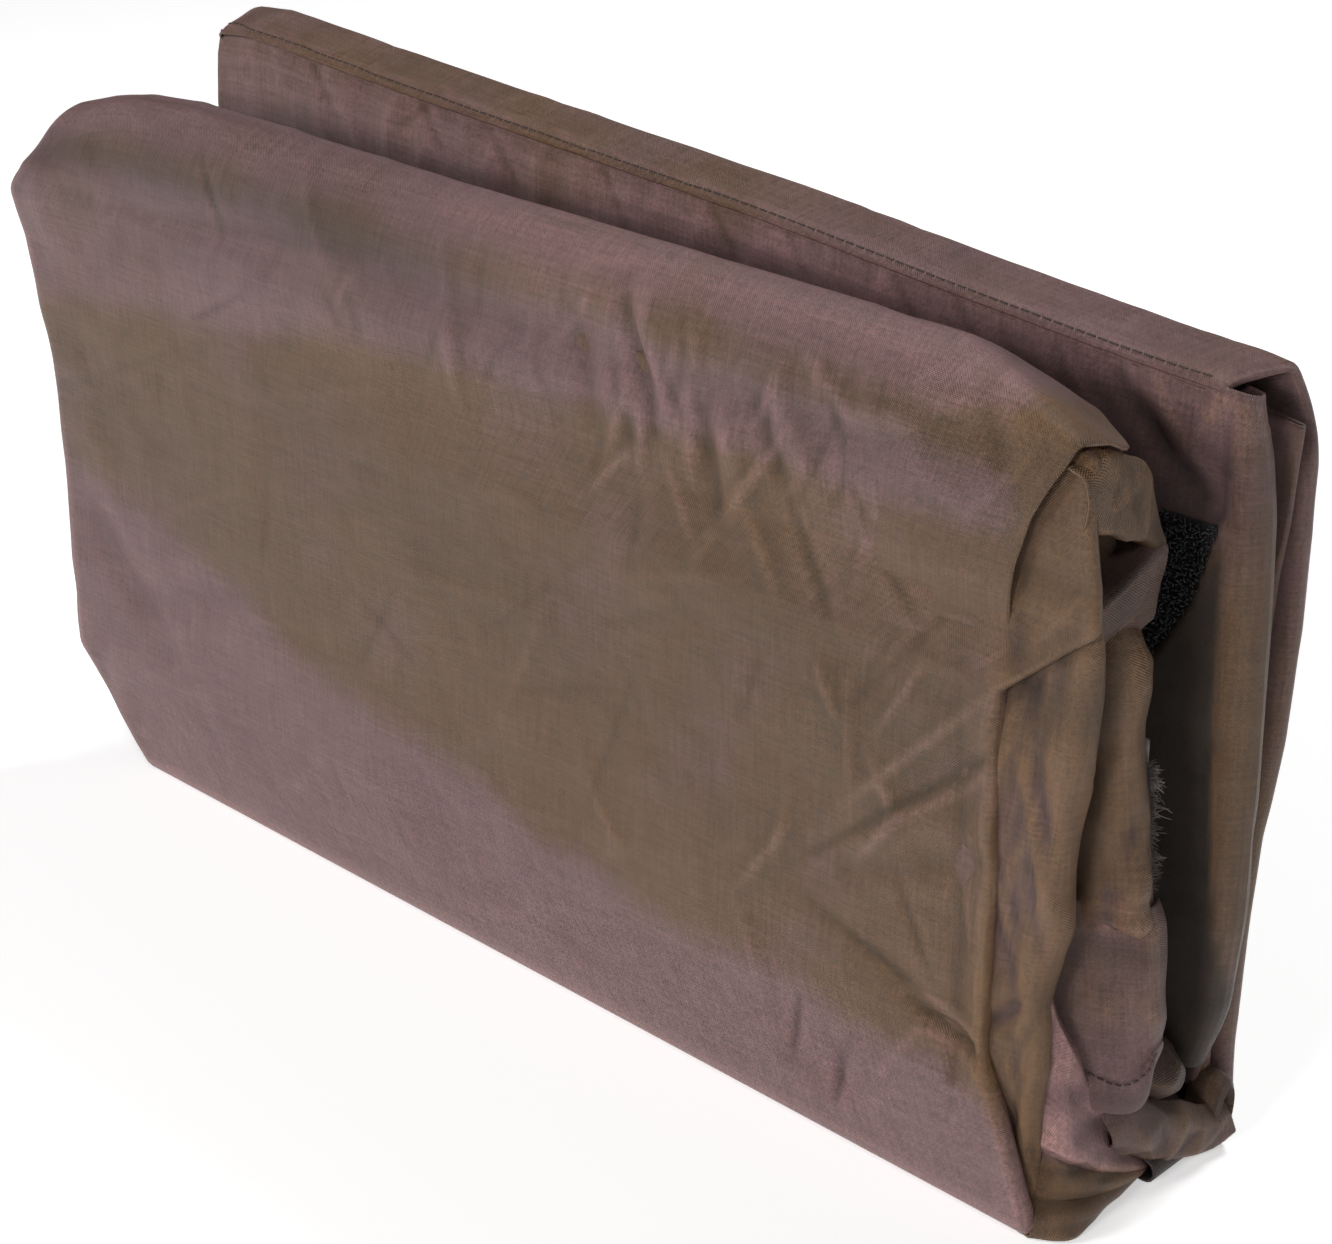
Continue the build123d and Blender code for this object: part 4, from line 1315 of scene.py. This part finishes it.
def make_covers():
    """Both outer sheets. Returns the back one, which carries a row of stitches."""
    grid = front_cover()
    outer_sheet("front", -1, grid, front_tone(grid), front_painted_shading(grid), "front_dog_ear")
    grid = back_cover()
    return outer_sheet("back", 1, grid, two_tone(grid, 2, 0.62), back_painted_shading(grid), "back_seam_lap")


def make_leaves():
    """The folded cloth of both halves."""
    grid = dog_ear()
    riding_sheet("front_half", "dog_ear", grid, front_tone(grid), front_painted_shading(grid), 1)
    end_sheet("front_half", "front_end_gather", end_gather(), -1, 4, 0.12)
    end_sheet("front_half", "front_gather_fold", gather_fold(), -1, 5, 0.55)
    end_sheet("front_half", "front_second_fold", front_second_roll(), 1, 4, 0.26, "front_second_leaf")
    end_sheet("front_half", "front_core_fold", front_core_roll(), 1, 5, 0.45, "front_core_leaf")
    end_sheet("back_half", "back_second_fold", back_second_roll(), -1, 6, 0.45, "back_second_leaf")
    end_sheet("back_half", "back_inner_ply", back_inner_ply(), 1, 7, 0.6, "back_inner_fold")


def make_spine():
    """The cloth between the halves."""
    end_sheet("spine", "spine_valley", spine_valley(), 1, 8, 0.5, "spine_inner_ply", "spine_band")
    grid = gusset_front()
    # the upper facet is made mauve and given painted light
    upper = smooth_step(grid[:, :, 2] + 0.55 * grid[:, :, 1], 2, 9)
    gusset = cloth_sheet("gusset_front", grid, 0.1 + 0.95 * upper, end_painted_shading(grid) + upper, -1)
    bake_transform(gusset)
    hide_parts("end_gusset")
    end_sheet("spine", "gusset_back", gusset_back(), -1, 10, 0.6)
    end_sheet("spine", "end_knuckle", end_knuckle(), -1, 11, 0.35)
    end_sheet("spine", "foot_loop", foot_loop(), -1, 12, 0.3)


def make_flaps():
    """Both flaps' cloth, and the front one's foot."""
    grid = front_flap_sheet()
    tone = two_tone(grid, 13, 0.3)
    # the folded end's painted highlights and shade, a little darker overall
    front_flap = cloth_sheet("front_flap_cloth", grid, tone, 0.92 * end_painted_shading(grid), -1)
    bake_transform(front_flap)
    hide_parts("front_flap_leaf", "front_flap_hem")
    foot = end_sheet("front_flap", "front_flap_foot", flap_foot(), -1, 15, 0.85)
    grid = back_flap_sheet()
    shade = back_painted_shading(grid)
    strip = smooth_step(grid[:, :, 0] - strip_edge(grid[:, :, 2]), -1, 1)
    strip *= 1 - smooth_step(grid[:, :, 2], 180, 225)
    # olive where the painted gap shade is deepest, and less mauve on the rolled strip
    tone = two_tone(grid, 14, 0.7) - 0.9 * (shade < 0.5) - 0.35 * strip
    back_flap = cloth_sheet("back_flap_cloth", grid, tone, shade)
    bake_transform(back_flap)
    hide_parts("back_flap_leaf", "back_flap_hem", "back_edge_roll")
    return front_flap, foot, back_flap


# ---- light, floor and camera --------------------------------------------------------------------
def make_camera():
    """The view from the front right, a little above."""
    camera = bpy.data.cameras.new("camera")
    camera.lens = 78.97
    camera.sensor_width = 36.0
    obj = add_object("camera", camera)
    azimuth, elevation = math.radians(43.79), math.radians(25.59)
    obj.location = Vector((635.8, -625.6, 540.6)) * MM
    obj.rotation_euler = (math.pi / 2 - elevation, 0, azimuth)
    bpy.context.scene.camera = obj


# soft round lamps: name, place, what they point at, size in metres and power in watts
LAMPS = [
    ("key", (-1.1, -2.0, 1.15), (0, 0, 0.12), 0.7, 34),
    ("fill", (0.35, -2.4, 0.85), (0.1, 0, 0.12), 0.6, 28.5),
    ("side", (1.3, -1.1, 1.5), (0.2, 0, 0.12), 0.25, 6),
    ("back", (0.2, 1.5, 2.1), (0, 0, 0.2), 1.0, 34),
]


def make_lamp(name, place, target, size, power):
    """A round area light."""
    light = bpy.data.lights.new(name, "AREA")
    light.shape = "DISK"
    light.size = size
    light.energy = power
    obj = add_object(name, light)
    obj.location = place
    obj.rotation_euler = (Vector(target) - Vector(place)).to_track_quat("-Z", "Y").to_euler()


def make_floor(reach=6):
    """A pale floor, reach metres out each way, that glows a little so that it stays near white."""
    corners = [(-reach, -reach, 0), (reach, -reach, 0), (reach, reach, 0), (-reach, reach, 0)]
    mesh = bpy.data.meshes.new("floor")
    mesh.from_pydata(corners, [], [(0, 1, 2, 3)])
    floor = add_object("floor", mesh)
    material, _, shader = new_material("floor_paint")
    shader.inputs["Base Color"].default_value = (0.92, 0.92, 0.92, 1)
    shader.inputs["Roughness"].default_value = 0.9
    shader.inputs["Emission Color"].default_value = (1, 1, 1, 1)
    shader.inputs["Emission Strength"].default_value = 0.42
    floor.data.materials.append(material)


def make_studio():
    """The floor, a dim even sky and the lamps."""
    make_floor()
    world = bpy.data.worlds.new("studio")
    world.use_nodes = True
    sky = world.node_tree.nodes["Background"]
    sky.inputs["Color"].default_value = (1, 1, 1, 1)
    sky.inputs["Strength"].default_value = 0.08
    bpy.context.scene.world = world
    bpy.context.scene.view_settings.view_transform = "Standard"
    for lamp in LAMPS:
        make_lamp(*lamp)


back = make_covers()
make_leaves()
make_spine()
front_flap, foot, back_flap = make_flaps()
make_loop_tape()
make_hook_tape()
make_stitches(back, front_flap, foot, back_flap)
make_camera()
make_studio()
